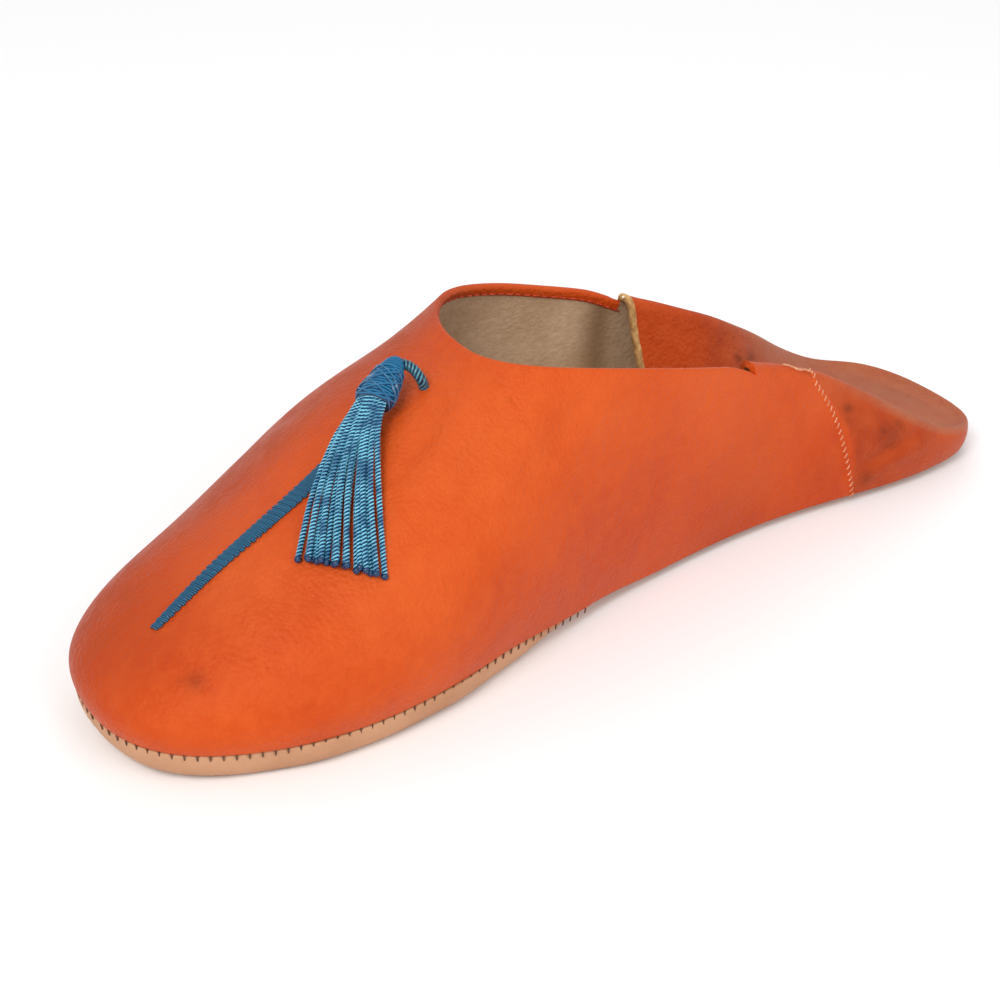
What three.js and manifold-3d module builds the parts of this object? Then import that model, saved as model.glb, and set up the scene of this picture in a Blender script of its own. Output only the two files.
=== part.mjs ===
// Babouche slipper for the right foot, trodden down at the heel, with a corded tassel.
// Millimetres. +X points to the toe, +Y to the inner side of the foot, +Z up. It stands on z = 0.
import * as THREE from "three";
import { mergeVertices } from "three/addons/utils/BufferGeometryUtils.js";
import Module from "manifold-3d";

const wasm = await Module();
wasm.setup();

// Named sizes of the shoe.
const shoeLength = 260;
const ballWidth = 84;
const instepHeight = 67;
const bulgeSize = 8;
const leather = 1.7;
const clearance = 0.3;

// Named sizes of the sole and the insole.
const seamHeight = 8;
const waistDrop = 3.8;
const footDrop = 1.7;
const tuck = leather + 2 * clearance;
const soleThickness = 3.4;
const lipWidth = 2.2;
const lipFoot = 4;
const soleInset = 5;
const archRise = 1.6;
const toeSpring = 2;
const insoleThickness = 1.6;

// Named sizes of the fold round the heel. The two shares count from the heel.
const flapEdge = 0.33;
const foldEnd = 1.35;
const foldWidth = 5.6;
const foldRise = 2.1;
const heelFloor = 8.8;
const flapFloor = 7.4;

// Where the leather turns round the two ends, as shares of the length.
const toeTurn = 0.7;
const toeReach = 0.06;
const heelTurn = 0.24;
const heelReach = 0.054;

// Where the counter is sewn to the quarters: the share of the length at the sole, and how far
// it leans and then bends forward on its way to the fold.
const seamFoot = 0.198;
const seamLean = 0.03;
const seamBend = 0.018;

// Named sizes of the embroidery and the tassel. The embroidery starts so far ahead of the throat
// and ends at a share of the length.
const stripeStart = 27;
const stripeTo = 0.938;
const stripeNarrow = 1.8;
const stripeWide = 5.4;
const stripeRaise = 0.9;
const cordRadius = 1.25;
const cordRise = 4.6;
const headRadius = 5.2;
const strandCount = 15;
const strandRadius = 0.8;
const coreEnd = 0.8;

// Where the tassel lies on the vamp: how far ahead of the throat, how far to the inner side, and
// how high over the leather its middle is.
const cordFoot = { ahead: 12.6, y: 0, lift: clearance };
const headTop = { ahead: 14.1, y: -5.5, lift: 6 };
const headBottom = { ahead: 25.1, y: 0.8, lift: 6 };
const skirtToe = { ahead: 56.1, y: 14, lift: 1.3 };
const skirtHeel = { ahead: 44.6, y: 27, lift: 1.3 };

// The knot from its neck to its lower end, as shares of its radius.
const headProfile = [
  { share: 0, wide: 0.42 },
  { share: 0.15, wide: 0.62 },
  { share: 0.4, wide: 0.78 },
  { share: 0.65, wide: 0.94 },
  { share: 0.82, wide: 1 },
  { share: 0.94, wide: 0.93 },
  { share: 1, wide: 0.78 },
];

// Outline of the sole: share of the length, half widths as shares of the ball width.
const outlineTable = [
  { share: 0, inner: 0, outer: 0 },
  { share: 0.02, inner: 0.285, outer: 0.18 },
  { share: 0.07, inner: 0.355, outer: 0.255 },
  { share: 0.15, inner: 0.345, outer: 0.295 },
  { share: 0.28, inner: 0.276, outer: 0.361 },
  { share: 0.42, inner: 0.265, outer: 0.464 },
  { share: 0.56, inner: 0.315, outer: 0.548 },
  { share: 0.7, inner: 0.41, outer: 0.592 },
  { share: 0.82, inner: 0.426, outer: 0.504 },
  { share: 0.92, inner: 0.338, outer: 0.408 },
  { share: 0.98, inner: 0.198, outer: 0.256 },
  { share: 1, inner: 0, outer: 0 },
];

// Height of the last along its middle line, as shares of the instep height. Behind the throat
// the last goes on inside the foot's opening, and the collar cuts the leather off.
const ridgeTable = [
  { share: 0, height: 0.194 },
  { share: 0.08, height: 0.5 },
  { share: 0.18, height: 0.896 },
  { share: 0.3, height: 1.328 },
  { share: 0.42, height: 1.537 },
  { share: 0.54, height: 1.209 },
  { share: 0.62, height: 1.001 },
  { share: 0.7, height: 0.884 },
  { share: 0.8, height: 0.687 },
  { share: 0.88, height: 0.545 },
  { share: 0.95, height: 0.381 },
];

// Height of the collar and of the fold behind it, as shares of the instep height.
const collarTable = [
  { share: 0, height: 0.138 },
  { share: 0.08, height: 0.222 },
  { share: 0.18, height: 0.465 },
  { share: 0.3, height: 0.697 },
  { share: 0.42, height: 0.85 },
  { share: 0.54, height: 0.985 },
  { share: 0.64, height: 1.04 },
];

// How far the wall swells out over the sole, as shares of the bulge size.
const bulgeTable = [
  { share: 0, inner: 0.49, outer: 0.49 },
  { share: 0.08, inner: 0.74, outer: 0.75 },
  { share: 0.2, inner: 0.45, outer: 0.45 },
  { share: 0.35, inner: 0.83, outer: 0.96 },
  { share: 0.5, inner: 0.94, outer: 1.02 },
  { share: 0.7, inner: 0.98, outer: 1.02 },
  { share: 0.9, inner: 0.675, outer: 0.625 },
  { share: 1, inner: 0.275, outer: 0.275 },
];

// How soon the wall leans in towards the middle line: 0 is round, 1 is a tent.
const leanTable = [
  { share: 0, lean: 0.5 },
  { share: 0.15, lean: 0.61 },
  { share: 0.35, lean: 0.47 },
  { share: 0.55, lean: 0.16 },
  { share: 0.75, lean: 0.35 },
  { share: 1, lean: 0.31 },
];

// A natural cubic spline through one column of a table.
function smoothColumn(table, column, place = (row) => row.share) {
  const at = table.map(place);
  const value = table.map((row) => row[column]);
  const last = at.length - 1;
  const gap = (i) => at[i + 1] - at[i];
  const slope = (i) => (value[i + 1] - value[i]) / gap(i);
  const ratio = [0];
  const load = [0];
  for (let i = 1; i < last; i += 1) {
    const pivot = 2 * (gap(i - 1) + gap(i)) - gap(i - 1) * ratio[i - 1];
    ratio.push(gap(i) / pivot);
    load.push((6 * (slope(i) - slope(i - 1)) - gap(i - 1) * load[i - 1]) / pivot);
  }
  const bend = new Array(last + 1).fill(0);
  for (let i = last - 1; i > 0; i -= 1) {
    bend[i] = load[i] - ratio[i] * bend[i + 1];
  }
  return (where) => {
    const s = THREE.MathUtils.clamp(where, at[0], at[last]);
    let i = 0;
    while (i < last - 1 && s > at[i + 1]) {
      i += 1;
    }
    const before = s - at[i];
    const after = at[i + 1] - s;
    const width = gap(i);
    const curved = (bend[i] * after ** 3 + bend[i + 1] * before ** 3) / (6 * width);
    const left = (value[i] / width - (bend[i] * width) / 6) * after;
    const right = (value[i + 1] / width - (bend[i + 1] * width) / 6) * before;
    return curved + left + right;
  };
}

// A station is counted as a turn from 0 at the heel to 1 at the toe. Even steps of the turn
// crowd together at both ends, where the outline curves most.
const turnAt = (share) => Math.acos(1 - 2 * share) / Math.PI;
const shareAt = (turn) => (1 - Math.cos(Math.PI * turn)) / 2;

const innerHalf = smoothColumn(outlineTable, "inner", (row) => turnAt(row.share));
const outerHalf = smoothColumn(outlineTable, "outer", (row) => turnAt(row.share));
const ridgeShare = smoothColumn(ridgeTable, "height");
const collarShare = smoothColumn(collarTable, "height");
const innerSwell = smoothColumn(bulgeTable, "inner");
const outerSwell = smoothColumn(bulgeTable, "outer");
const leanShare = smoothColumn(leanTable, "lean");

const innerSide = 1;
const outerSide = -1;

// Half width of the sole at a station, always positive.
function halfWidth(turn, side) {
  return ballWidth * (side === innerSide ? innerHalf(turn) : outerHalf(turn));
}

// A point of the outline with its outward direction in plan, both on the positive side.
function outlineAt(turn, side) {
  const step = 0.002;
  const before = Math.max(turn - step, 0);
  const after = Math.min(turn + step, 1);
  const forward = shoeLength * (shareAt(after) - shareAt(before));
  const sideways = halfWidth(after, side) - halfWidth(before, side);
  const outward = new THREE.Vector2(-sideways, forward).normalize();
  if (turn <= 0 || turn >= 1) {
    outward.set(turn <= 0 ? -1 : 1, 0);
  }
  return { x: shoeLength * shareAt(turn), y: halfWidth(turn, side), outward };
}

// The point of the middle line that a station looks to. It lags behind at both ends, so that
// the stations fan out round the toe and round the heel.
function middleX(x) {
  const share = x / shoeLength;
  const toe = Math.max((share - toeTurn) / (1 - toeTurn), 0);
  const heel = Math.max(1 - share / heelTurn, 0);
  return x + shoeLength * (heelReach * heel ** 2 - toeReach * toe ** 2);
}

// Height of the sole's underside over the floor: a low arch under the waist and a small
// spring under the toe.
function soleRise(x, y) {
  const share = x / shoeLength;
  const waist = THREE.MathUtils.clamp((share - 0.27) / (0.6 - 0.27), 0, 1);
  const across = 0.6 + 0.4 * THREE.MathUtils.clamp(y / (0.3 * ballWidth), -1, 1);
  const tip = Math.max((share - 0.86) / (1 - 0.86), 0);
  return archRise * across * Math.sin(Math.PI * waist) ** 2 + toeSpring * tip ** 2;
}

// How far a station is on its way from the waist, which is 0, to the forefoot, which is 1.
const forward = (x, from, to) => THREE.MathUtils.smoothstep(x / shoeLength, from, to);

// Height of the sole's lip. The upper is sewn on it round the forefoot.
function lipTop(x) {
  const drop = waistDrop * (1 - forward(x, 0.54, 0.68));
  return seamHeight - drop + soleRise(Math.max(x, toeTurn * shoeLength), 0);
}

// Height of the leather's lower edge. From the waist back it comes down beside the sole.
function footHeight(x) {
  return lipTop(x) + clearance - footDrop * (1 - forward(x, 0.44, 0.54));
}

// How far the sole is drawn in under the leather: not at all round the forefoot.
function tuckIn(x) {
  return tuck * (1 - forward(x, 0.54, 0.64));
}

const ridgeHeight = (x) => instepHeight * ridgeShare(x / shoeLength);

// Height at which the leather ends or starts to fold. The fold's crown stands over it.
function collarHeight(x) {
  const share = x / shoeLength;
  const open = THREE.MathUtils.smoothstep(share, flapEdge - 0.02, flapEdge + 0.04);
  return instepHeight * collarShare(share) - foldRise * (1 - open);
}

// The last's section at a station: from the seam on the sole, out over it, up and in to the
// middle line.
function lastSection(turn, side) {
  const edge = outlineAt(turn, side);
  const middle = middleX(edge.x);
  const height = ridgeHeight(middle);
  const share = middle / shoeLength;
  const slope = ridgeHeight(middle + 0.5) - ridgeHeight(middle - 0.5);
  const follow = THREE.MathUtils.clamp((share - 0.2) / 0.4, 0, 1);
  const foot = footHeight(edge.x);
  const swellShare = side === innerSide ? innerSwell : outerSwell;
  const swell = 1.33 * bulgeSize * swellShare(edge.x / shoeLength);
  const round = 1 - leanShare(edge.x / shoeLength);
  const start = new THREE.Vector3(edge.x, edge.y, foot);
  const end = new THREE.Vector3(middle, 0, height);
  const low = start.clone();
  low.x += edge.outward.x * swell;
  low.y += edge.outward.y * swell;
  low.z += 0.45 * (height - foot);
  const high = new THREE.Vector3(middle + round * (edge.x - middle), round * edge.y, height);
  high.z += slope * follow * (high.x - middle);
  return new THREE.CubicBezierCurve3(start, low, high, end);
}

// Where the collar or the fold cuts a section: 1 where the leather reaches the middle line.
function cutOff(section) {
  const x = section.v0.x;
  const height = collarHeight(x);
  if (x > 0.66 * shoeLength || section.v3.z <= height) {
    return 1;
  }
  let low = 0;
  let high = 1;
  for (let i = 0; i < 30; i += 1) {
    const half = (low + high) / 2;
    if (section.getPoint(half).z < height) {
      low = half;
    } else {
      high = half;
    }
  }
  return low;
}

// The outside of the leather at one station. Level 0 is the seam on the sole, 1 is the collar
// or the fold, 2 is the middle line of the flap that lies inside the heel.
function leatherRib(turn, side) {
  const wall = lastSection(turn, side);
  const cut = cutOff(wall);
  const top = wall.getPoint(cut);
  const rise = top.clone().sub(wall.getPoint(cut * 0.98)).normalize();
  const share = wall.v0.x / shoeLength;
  const floor = THREE.MathUtils.lerp(heelFloor, flapFloor, Math.min(share / flapEdge, 1));
  const middle = new THREE.Vector3(middleX(wall.v0.x), 0, floor);
  const inward = new THREE.Vector3(middle.x - top.x, middle.y - top.y, 0);
  const reach = inward.length();
  inward.normalize();
  const steep = Math.atan2(top.z - floor, 10);
  const down = inward.clone().multiplyScalar(Math.cos(steep));
  down.z = -Math.sin(steep);
  const over = top.clone().addScaledVector(inward, foldWidth);
  const turnIn = 0.675 * foldWidth;
  const fold = new THREE.CubicBezierCurve3(
    top,
    top.clone().addScaledVector(rise, turnIn),
    over.clone().addScaledVector(down, -turnIn),
    over,
  );
  const fall = new THREE.CubicBezierCurve3(
    over,
    over.clone().addScaledVector(down, 0.42 * over.distanceTo(middle)),
    middle.clone().addScaledVector(inward, -0.45 * (reach - foldWidth)),
    middle,
  );
  return (level) => {
    let point;
    if (level <= 1) {
      point = wall.getPoint(cut * level);
    } else if (level <= foldEnd) {
      point = fold.getPoint((level - 1) / (foldEnd - 1));
    } else {
      point = fall.getPoint((level - foldEnd) / (2 - foldEnd));
    }
    point.y *= side;
    return point;
  };
}

// Triangles collected from grids of points.
class Surface {
  constructor() {
    this.positions = [];
    this.faces = [];
  }

  // Rows of points, joined row to row. On the inner side the rows run from heel to toe.
  addGrid(rows, side) {
    const start = this.positions.length / 3;
    const across = rows[0].length;
    for (const row of rows) {
      for (const point of row) {
        this.positions.push(point.x, point.y, point.z);
      }
    }
    for (let i = 0; i + 1 < rows.length; i += 1) {
      for (let j = 0; j + 1 < across; j += 1) {
        const a = start + i * across + j;
        const b = a + 1;
        const c = a + across;
        const d = c + 1;
        const pair = side === innerSide ? [a, b, c, c, b, d] : [a, c, b, c, d, b];
        this.faces.push(...pair);
      }
    }
    return this;
  }

  // One indexed geometry whose points are shared and whose collapsed triangles are gone.
  geometry() {
    const loose = new THREE.BufferGeometry();
    loose.setAttribute("position", new THREE.Float32BufferAttribute(this.positions, 3));
    loose.setIndex(this.faces);
    const merged = mergeVertices(loose, 1e-3);
    const kept = [];
    const index = merged.getIndex().array;
    for (let i = 0; i < index.length; i += 3) {
      const [a, b, c] = [index[i], index[i + 1], index[i + 2]];
      if (a !== b && b !== c && c !== a) {
        kept.push(a, b, c);
      }
    }
    merged.setIndex(kept);
    merged.computeVertexNormals();
    return merged;
  }
}

// A closed sheet: the given outside, a copy set inwards by the thickness, and rims between.
function thicken(outside, thickness) {
  const position = outside.getAttribute("position");
  const normal = outside.getAttribute("normal");
  const index = Array.from(outside.getIndex().array);
  const count = position.count;
  const positions = Array.from(position.array);
  for (let i = 0; i < count; i += 1) {
    positions.push(
      position.getX(i) - thickness * normal.getX(i),
      position.getY(i) - thickness * normal.getY(i),
      position.getZ(i) - thickness * normal.getZ(i),
    );
  }
  const faces = [...index];
  const edges = new Set();
  for (let i = 0; i < index.length; i += 3) {
    const [a, b, c] = index.slice(i, i + 3);
    faces.push(a + count, c + count, b + count);
    edges.add(`${a} ${b}`).add(`${b} ${c}`).add(`${c} ${a}`);
  }
  for (const edge of edges) {
    const [a, b] = edge.split(" ").map(Number);
    if (!edges.has(`${b} ${a}`)) {
      faces.push(b, a, a + count, b, a + count, b + count);
    }
  }
  const solid = new THREE.BufferGeometry();
  solid.setAttribute("position", new THREE.Float32BufferAttribute(positions, 3));
  solid.setIndex(faces);
  solid.computeVertexNormals();
  return solid;
}

const evenly = (count) => Array.from({ length: count + 1 }, (_, i) => i / count);
const between = (from, to, count) => evenly(count).map((t) => from + (to - from) * t);
const wallLevels = evenly(9);
const foldLevels = between(1, foldEnd, 5).slice(1);
const flapLevels = between(foldEnd, 2, 6).slice(1);
const allLevels = [...wallLevels, ...foldLevels, ...flapLevels];

// The counter's seam leans forward evenly up the wall and bends forward just below the fold.
function seamTurn(level) {
  const up = Math.min(level, 1);
  return turnAt(seamFoot + seamLean * up + seamBend * up ** 6);
}

// Half the gap of the counter's seam, as a turn.
const seamHalf = clearance / (shoeLength * Math.PI * 0.4);

// The first station where the leather closes over the middle line.
function throatTurn() {
  let low = turnAt(0.5);
  let high = turnAt(0.66);
  for (let i = 0; i < 40; i += 1) {
    const middle = (low + high) / 2;
    const x = shoeLength * shareAt(middle);
    if (ridgeHeight(x) > collarHeight(x)) {
      low = middle;
    } else {
      high = middle;
    }
  }
  return high;
}

const throat = throatTurn();
const throatX = shoeLength * shareAt(throat);

function upperOutside() {
  const surface = new Surface();
  const edge = turnAt(flapEdge);
  for (const side of [innerSide, outerSide]) {
    const folded = evenly(5).map((t) =>
      allLevels.map((level) => {
        const seam = seamTurn(level) + seamHalf;
        return leatherRib(seam + (edge - seam) * t, side)(level);
      }),
    );
    surface.addGrid(folded, side);
    const quarter = evenly(10).map((t) => edge + (throat - edge) * Math.sin((Math.PI / 2) * t));
    const vamp = evenly(19).map((t) => throat + (1 - throat) * t);
    for (const turns of [quarter, vamp]) {
      const rows = turns.map((turn) => wallLevels.map(leatherRib(turn, side)));
      surface.addGrid(rows, side);
    }
  }
  return surface.geometry();
}

function counterOutside() {
  const surface = new Surface();
  for (const side of [innerSide, outerSide]) {
    const rows = evenly(15).map((t) =>
      allLevels.map((level) => leatherRib((seamTurn(level) - seamHalf) * t, side)(level)),
    );
    surface.addGrid(rows, side);
  }
  return surface.geometry();
}

// A closed plate that follows the outline. Each step of its profile is a function of the
// station that gives how far it lies inside the outline and how high it lies over the sole's
// underside. The profile starts and ends on the middle line.
function plate(profile) {
  const surface = new Surface();
  for (const side of [innerSide, outerSide]) {
    const rows = evenly(40).map((turn) => {
      const edge = outlineAt(turn, side);
      const middle = middleX(edge.x);
      return profile.map(({ inset, share, height }) => {
        const inside = inset + tuckIn(edge.x);
        const x = edge.x - edge.outward.x * inside;
        const y = edge.y - edge.outward.y * inside;
        const at = new THREE.Vector2(x + (middle - x) * share, y * (1 - share) * side);
        return new THREE.Vector3(at.x, at.y, height(at.x, at.y));
      });
    });
    surface.addGrid(rows, side);
  }
  return surface.geometry();
}

function outsole() {
  const under = (x, y) => soleRise(x, y);
  const over = (x, y) => soleRise(x, y) + soleThickness;
  const round = [0, 25, 50, 70, 90].map((degrees) => {
    const angle = THREE.MathUtils.degToRad(degrees);
    const lift = 1 - Math.cos(angle);
    return {
      inset: soleInset * (1 - Math.sin(angle)),
      share: 0,
      height: (x, y) => soleRise(x, y) * (1 - lift) + lipTop(x) * lift,
    };
  });
  return plate([
    { inset: soleInset, share: 1, height: under },
    { inset: soleInset, share: 0.5, height: under },
    ...round,
    { inset: lipWidth, share: 0, height: (x) => lipTop(x) },
    { inset: lipFoot, share: 0, height: over },
    { inset: lipFoot, share: 0.5, height: over },
    { inset: lipFoot, share: 1, height: over },
  ]);
}

function insole() {
  const inset = lipFoot + clearance;
  const under = (x, y) => soleRise(x, y) + soleThickness + clearance;
  const over = (x, y) => under(x, y) + insoleThickness;
  return plate([
    { inset, share: 1, height: under },
    { inset, share: 0.5, height: under },
    { inset, share: 0, height: under },
    { inset, share: 0, height: over },
    { inset, share: 0.5, height: over },
    { inset, share: 1, height: over },
  ]);
}

// Finds the leather straight below a place in plan, with its outward direction.
function footing(geometry) {
  const mesh = new THREE.Mesh(geometry);
  const ray = new THREE.Raycaster();
  const downward = new THREE.Vector3(0, 0, -1);
  return (x, y) => {
    ray.set(new THREE.Vector3(x, y, 2 * instepHeight), downward);
    const hit = ray.intersectObject(mesh)[0];
    return { point: hit.point, out: hit.normal };
  };
}

// A closed solid through rings of equally many points, seen counter-clockwise from its end.
function loft(rings) {
  const sides = rings[0].length;
  const positions = rings.flat().flatMap((point) => [point.x, point.y, point.z]);
  const faces = [];
  for (let i = 0; i + 1 < rings.length; i += 1) {
    for (let j = 0; j < sides; j += 1) {
      const a = i * sides + j;
      const b = i * sides + ((j + 1) % sides);
      faces.push(a, b, a + sides, b, b + sides, a + sides);
    }
  }
  const end = (rings.length - 1) * sides;
  for (let j = 1; j + 1 < sides; j += 1) {
    faces.push(0, j + 1, j);
    faces.push(end, end + j, end + j + 1);
  }
  const solid = new THREE.BufferGeometry();
  solid.setAttribute("position", new THREE.Float32BufferAttribute(positions, 3));
  solid.setIndex(faces);
  solid.computeVertexNormals();
  return solid;
}

// An oval ring of points round a centre, turned from `across` towards `up`.
function ovalRing(center, across, up, halfAcross, halfUp, sides) {
  return Array.from({ length: sides }, (_, j) => {
    const angle = (2 * Math.PI * j) / sides;
    return center
      .clone()
      .addScaledVector(across, halfAcross * Math.cos(angle))
      .addScaledVector(up, halfUp * Math.sin(angle));
  });
}

// A closed tube through a row of centres. Each centre brings the half sizes of its ring. The
// rings start out upright and are turned no more than the path turns.
function tube(centers, up, sides) {
  const above = up.clone();
  const rings = centers.map(({ center, halfAcross, halfUp }, i) => {
    const before = centers[Math.max(i - 1, 0)].center;
    const after = centers[Math.min(i + 1, centers.length - 1)].center;
    const along = after.clone().sub(before).normalize();
    above.addScaledVector(along, -above.dot(along)).normalize();
    const across = new THREE.Vector3().crossVectors(above, along);
    return ovalRing(center, across, above, halfAcross, halfUp, sides);
  });
  return loft(rings);
}

// Joins closed solids that overlap into one.
function fuse(geometries) {
  const solids = geometries.map((geometry) => {
    const vertProperties = new Float32Array(geometry.getAttribute("position").array);
    const triVerts = new Uint32Array(geometry.getIndex().array);
    return new wasm.Manifold(new wasm.Mesh({ numProp: 3, vertProperties, triVerts }));
  });
  const joined = wasm.Manifold.union(solids).getMesh();
  const solid = new THREE.BufferGeometry();
  solid.setAttribute("position", new THREE.Float32BufferAttribute(joined.vertProperties, 3));
  solid.setIndex(Array.from(joined.triVerts));
  solid.computeVertexNormals();
  return solid;
}

// The raised line of satin stitches: it widens from the toe to the throat.
function embroideredStripe(ground) {
  const rings = evenly(28).map((t) => {
    const x = THREE.MathUtils.lerp(throatX + stripeStart, shoeLength * stripeTo, t);
    const wide = stripeNarrow + (stripeWide - stripeNarrow) * Math.sqrt(1 - t);
    const places = between(0.5, -0.5, 4).map((across) => {
      const { point, out } = ground(x, wide * across);
      const raise = stripeRaise * (0.3 + 0.7 * Math.sqrt(1 - 4 * across ** 2));
      const low = point.clone().addScaledVector(out, clearance);
      return { low, high: low.clone().addScaledVector(out, raise) };
    });
    const over = places.map((place) => place.high);
    const under = places.map((place) => place.low).reverse();
    return [...over, ...under];
  });
  return loft(rings);
}

// A place of the tassel in space, and the leather's outward direction below it.
function overLeather(ground, { ahead, y, lift }) {
  const { point, out } = ground(throatX + ahead, y);
  return point.clone().addScaledVector(out, lift);
}

const outwardAt = (ground, { ahead, y }) => ground(throatX + ahead, y).out;

// The neck: twisted cord that leaves the leather, turns over and runs into the knot.
function tasselCord(ground) {
  const foot = overLeather(ground, cordFoot);
  const top = overLeather(ground, headTop);
  const out = outwardAt(ground, cordFoot);
  const axis = top.clone().sub(overLeather(ground, headBottom)).normalize();
  const neck = top.clone().addScaledVector(axis, clearance + 3 * cordRadius);
  const path = new THREE.CatmullRomCurve3([
    foot,
    foot.clone().addScaledVector(out, 0.5 * cordRise),
    foot.clone().lerp(neck, 0.5).addScaledVector(out, 0.55 * cordRise),
    neck,
    top.clone().addScaledVector(axis, 2 * clearance),
  ]);
  const side = new THREE.Vector3().crossVectors(axis, out).normalize();
  const centers = evenly(12).map((t) => {
    const center = path.getPoint(t);
    return { center, halfAcross: cordRadius, halfUp: cordRadius };
  });
  return tube(centers, side, 10);
}

// The wound knot: narrow at the neck, widest near its lower end.
function tasselHead(ground) {
  const top = overLeather(ground, headTop);
  const bottom = overLeather(ground, headBottom);
  const up = outwardAt(ground, headBottom);
  const centers = headProfile.map(({ share, wide }) => ({
    center: top.clone().lerp(bottom, share),
    halfAcross: headRadius * wide,
    halfUp: 0.8 * headRadius * wide,
  }));
  return tube(centers, up, 16);
}

// The path of one strand: out of the knot, spreading, and down onto the leather.
function strandPath(ground, t) {
  const bottom = overLeather(ground, headBottom);
  const top = overLeather(ground, headTop);
  const axis = bottom.clone().sub(top).normalize();
  const out = outwardAt(ground, headBottom);
  const across = new THREE.Vector3().crossVectors(out, axis);
  const spread = 2 * t - 1;
  const start = bottom
    .clone()
    .addScaledVector(axis, 2 * clearance)
    .addScaledVector(across, 0.74 * headRadius * spread);
  const uneven = 0.04 * Math.sin(5.1 * t * strandCount);
  const endX = throatX + THREE.MathUtils.lerp(skirtToe.ahead, skirtHeel.ahead, t);
  const endY = THREE.MathUtils.lerp(skirtToe.y, skirtHeel.y, t);
  const layer = Math.round(t * (strandCount - 1)) % 2;
  return (along) => {
    const grown = along * (1 + uneven);
    const x = THREE.MathUtils.lerp(start.x, endX, grown);
    const y = THREE.MathUtils.lerp(start.y, endY, grown);
    const settle = (1 - Math.min(grown, 1)) ** 1.5;
    const rest = skirtToe.lift + 0.7 * layer * strandRadius;
    const lift = THREE.MathUtils.lerp(rest, headBottom.lift, settle);
    const laid = overLeather(ground, { ahead: x - throatX, y, lift });
    return laid.lerp(start, Math.max(1 - 8 * along, 0));
  };
}

// The skirt: one core with every strand fused on to it.
function tasselSkirt(ground) {
  const up = outwardAt(ground, headBottom);
  const paths = evenly(strandCount - 1).map((t) => strandPath(ground, t));
  const strands = paths.map((path) => {
    const centers = evenly(6).map((along) => {
      const center = path(along);
      return { center, halfAcross: strandRadius, halfUp: strandRadius };
    });
    return tube(centers, up, 5);
  });
  const [first, last] = [paths[0], paths[paths.length - 1]];
  const core = tube(
    between(0, coreEnd, 4).map((along) => {
      const [a, b] = [first(along), last(along)];
      const middle = paths[Math.floor(strandCount / 2)](along);
      return { center: middle, halfAcross: 0.46 * a.distanceTo(b), halfUp: 0.8 * strandRadius };
    }),
    up,
    12,
  );
  return fuse([core, ...strands]);
}

function node(name, geometry, material) {
  const mesh = new THREE.Mesh(geometry, material);
  mesh.name = name;
  return mesh;
}

function paint(name, color, roughness) {
  const material = new THREE.MeshStandardMaterial({ color, roughness, metalness: 0 });
  material.name = name;
  return material;
}

const leatherOutside = upperOutside();
const ground = footing(leatherOutside);
const slipper = new THREE.Group();
slipper.name = "babouche_slipper";
slipper.add(
  node("outsole", outsole(), paint("sole_leather", 0xd0a070, 0.8)),
  node("insole", insole(), paint("sock_leather", 0xa8895f, 0.85)),
  node("upper", thicken(leatherOutside, leather), paint("upper_leather", 0xd65a22, 0.6)),
  node("heel_counter", thicken(counterOutside(), leather), paint("heel_leather", 0xb85028, 0.6)),
  node("embroidered_stripe", embroideredStripe(ground), paint("stripe_thread", 0x1a5f8f, 0.6)),
  node("tassel_cord", tasselCord(ground), paint("cord_thread", 0x14507c, 0.6)),
  node("tassel_head", tasselHead(ground), paint("knot_thread", 0x1574a8, 0.5)),
  node("tassel_skirt", tasselSkirt(ground), paint("strand_thread", 0x1677ad, 0.5)),
);

// The origin lies on the floor under the middle of the slipper's bounding box.
const center = new THREE.Box3().setFromObject(slipper, true).getCenter(new THREE.Vector3());
for (const piece of slipper.children) {
  piece.geometry.translate(-center.x, -center.y, 0);
}

export default slipper;
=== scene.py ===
# %% [markdown]
# # A leather slipper with a corded tassel
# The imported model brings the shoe's main solids in their right place and size. This lesson gives
# each of them the fine shape and the finish of the real one: wrinkled leather, a turned collar,
# hand stitches, satin embroidery and twisted cords. The frame is loaded first, and its box is kept,
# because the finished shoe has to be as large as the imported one.

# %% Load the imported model
import math

import bpy
import numpy as np
from mathutils import Matrix, Vector


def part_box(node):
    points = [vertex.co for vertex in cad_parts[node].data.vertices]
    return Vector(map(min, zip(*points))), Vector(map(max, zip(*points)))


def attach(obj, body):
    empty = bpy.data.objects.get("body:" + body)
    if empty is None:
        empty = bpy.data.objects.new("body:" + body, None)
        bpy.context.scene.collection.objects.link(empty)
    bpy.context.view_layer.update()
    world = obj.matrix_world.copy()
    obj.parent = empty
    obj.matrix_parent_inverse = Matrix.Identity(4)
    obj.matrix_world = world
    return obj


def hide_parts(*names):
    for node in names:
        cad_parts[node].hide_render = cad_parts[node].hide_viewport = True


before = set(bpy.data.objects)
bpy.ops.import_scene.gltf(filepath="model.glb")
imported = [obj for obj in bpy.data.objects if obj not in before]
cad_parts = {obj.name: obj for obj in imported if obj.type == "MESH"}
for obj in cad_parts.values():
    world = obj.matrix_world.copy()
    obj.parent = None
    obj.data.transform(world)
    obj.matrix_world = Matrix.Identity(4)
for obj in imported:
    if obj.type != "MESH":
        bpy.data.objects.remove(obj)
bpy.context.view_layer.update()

# %% [markdown]
# The slipper was built on a last, a wooden form of the foot. Its shape is a few short tables along
# the shoe, from heel to toe, and a formula that bends the leather over them. The tables could be
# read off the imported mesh, but a formula gives a surface of any fineness, so it is written again
# here. All lengths are in millimetres, with the heel at x = 0 and the inner side of the foot at +y.

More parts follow.
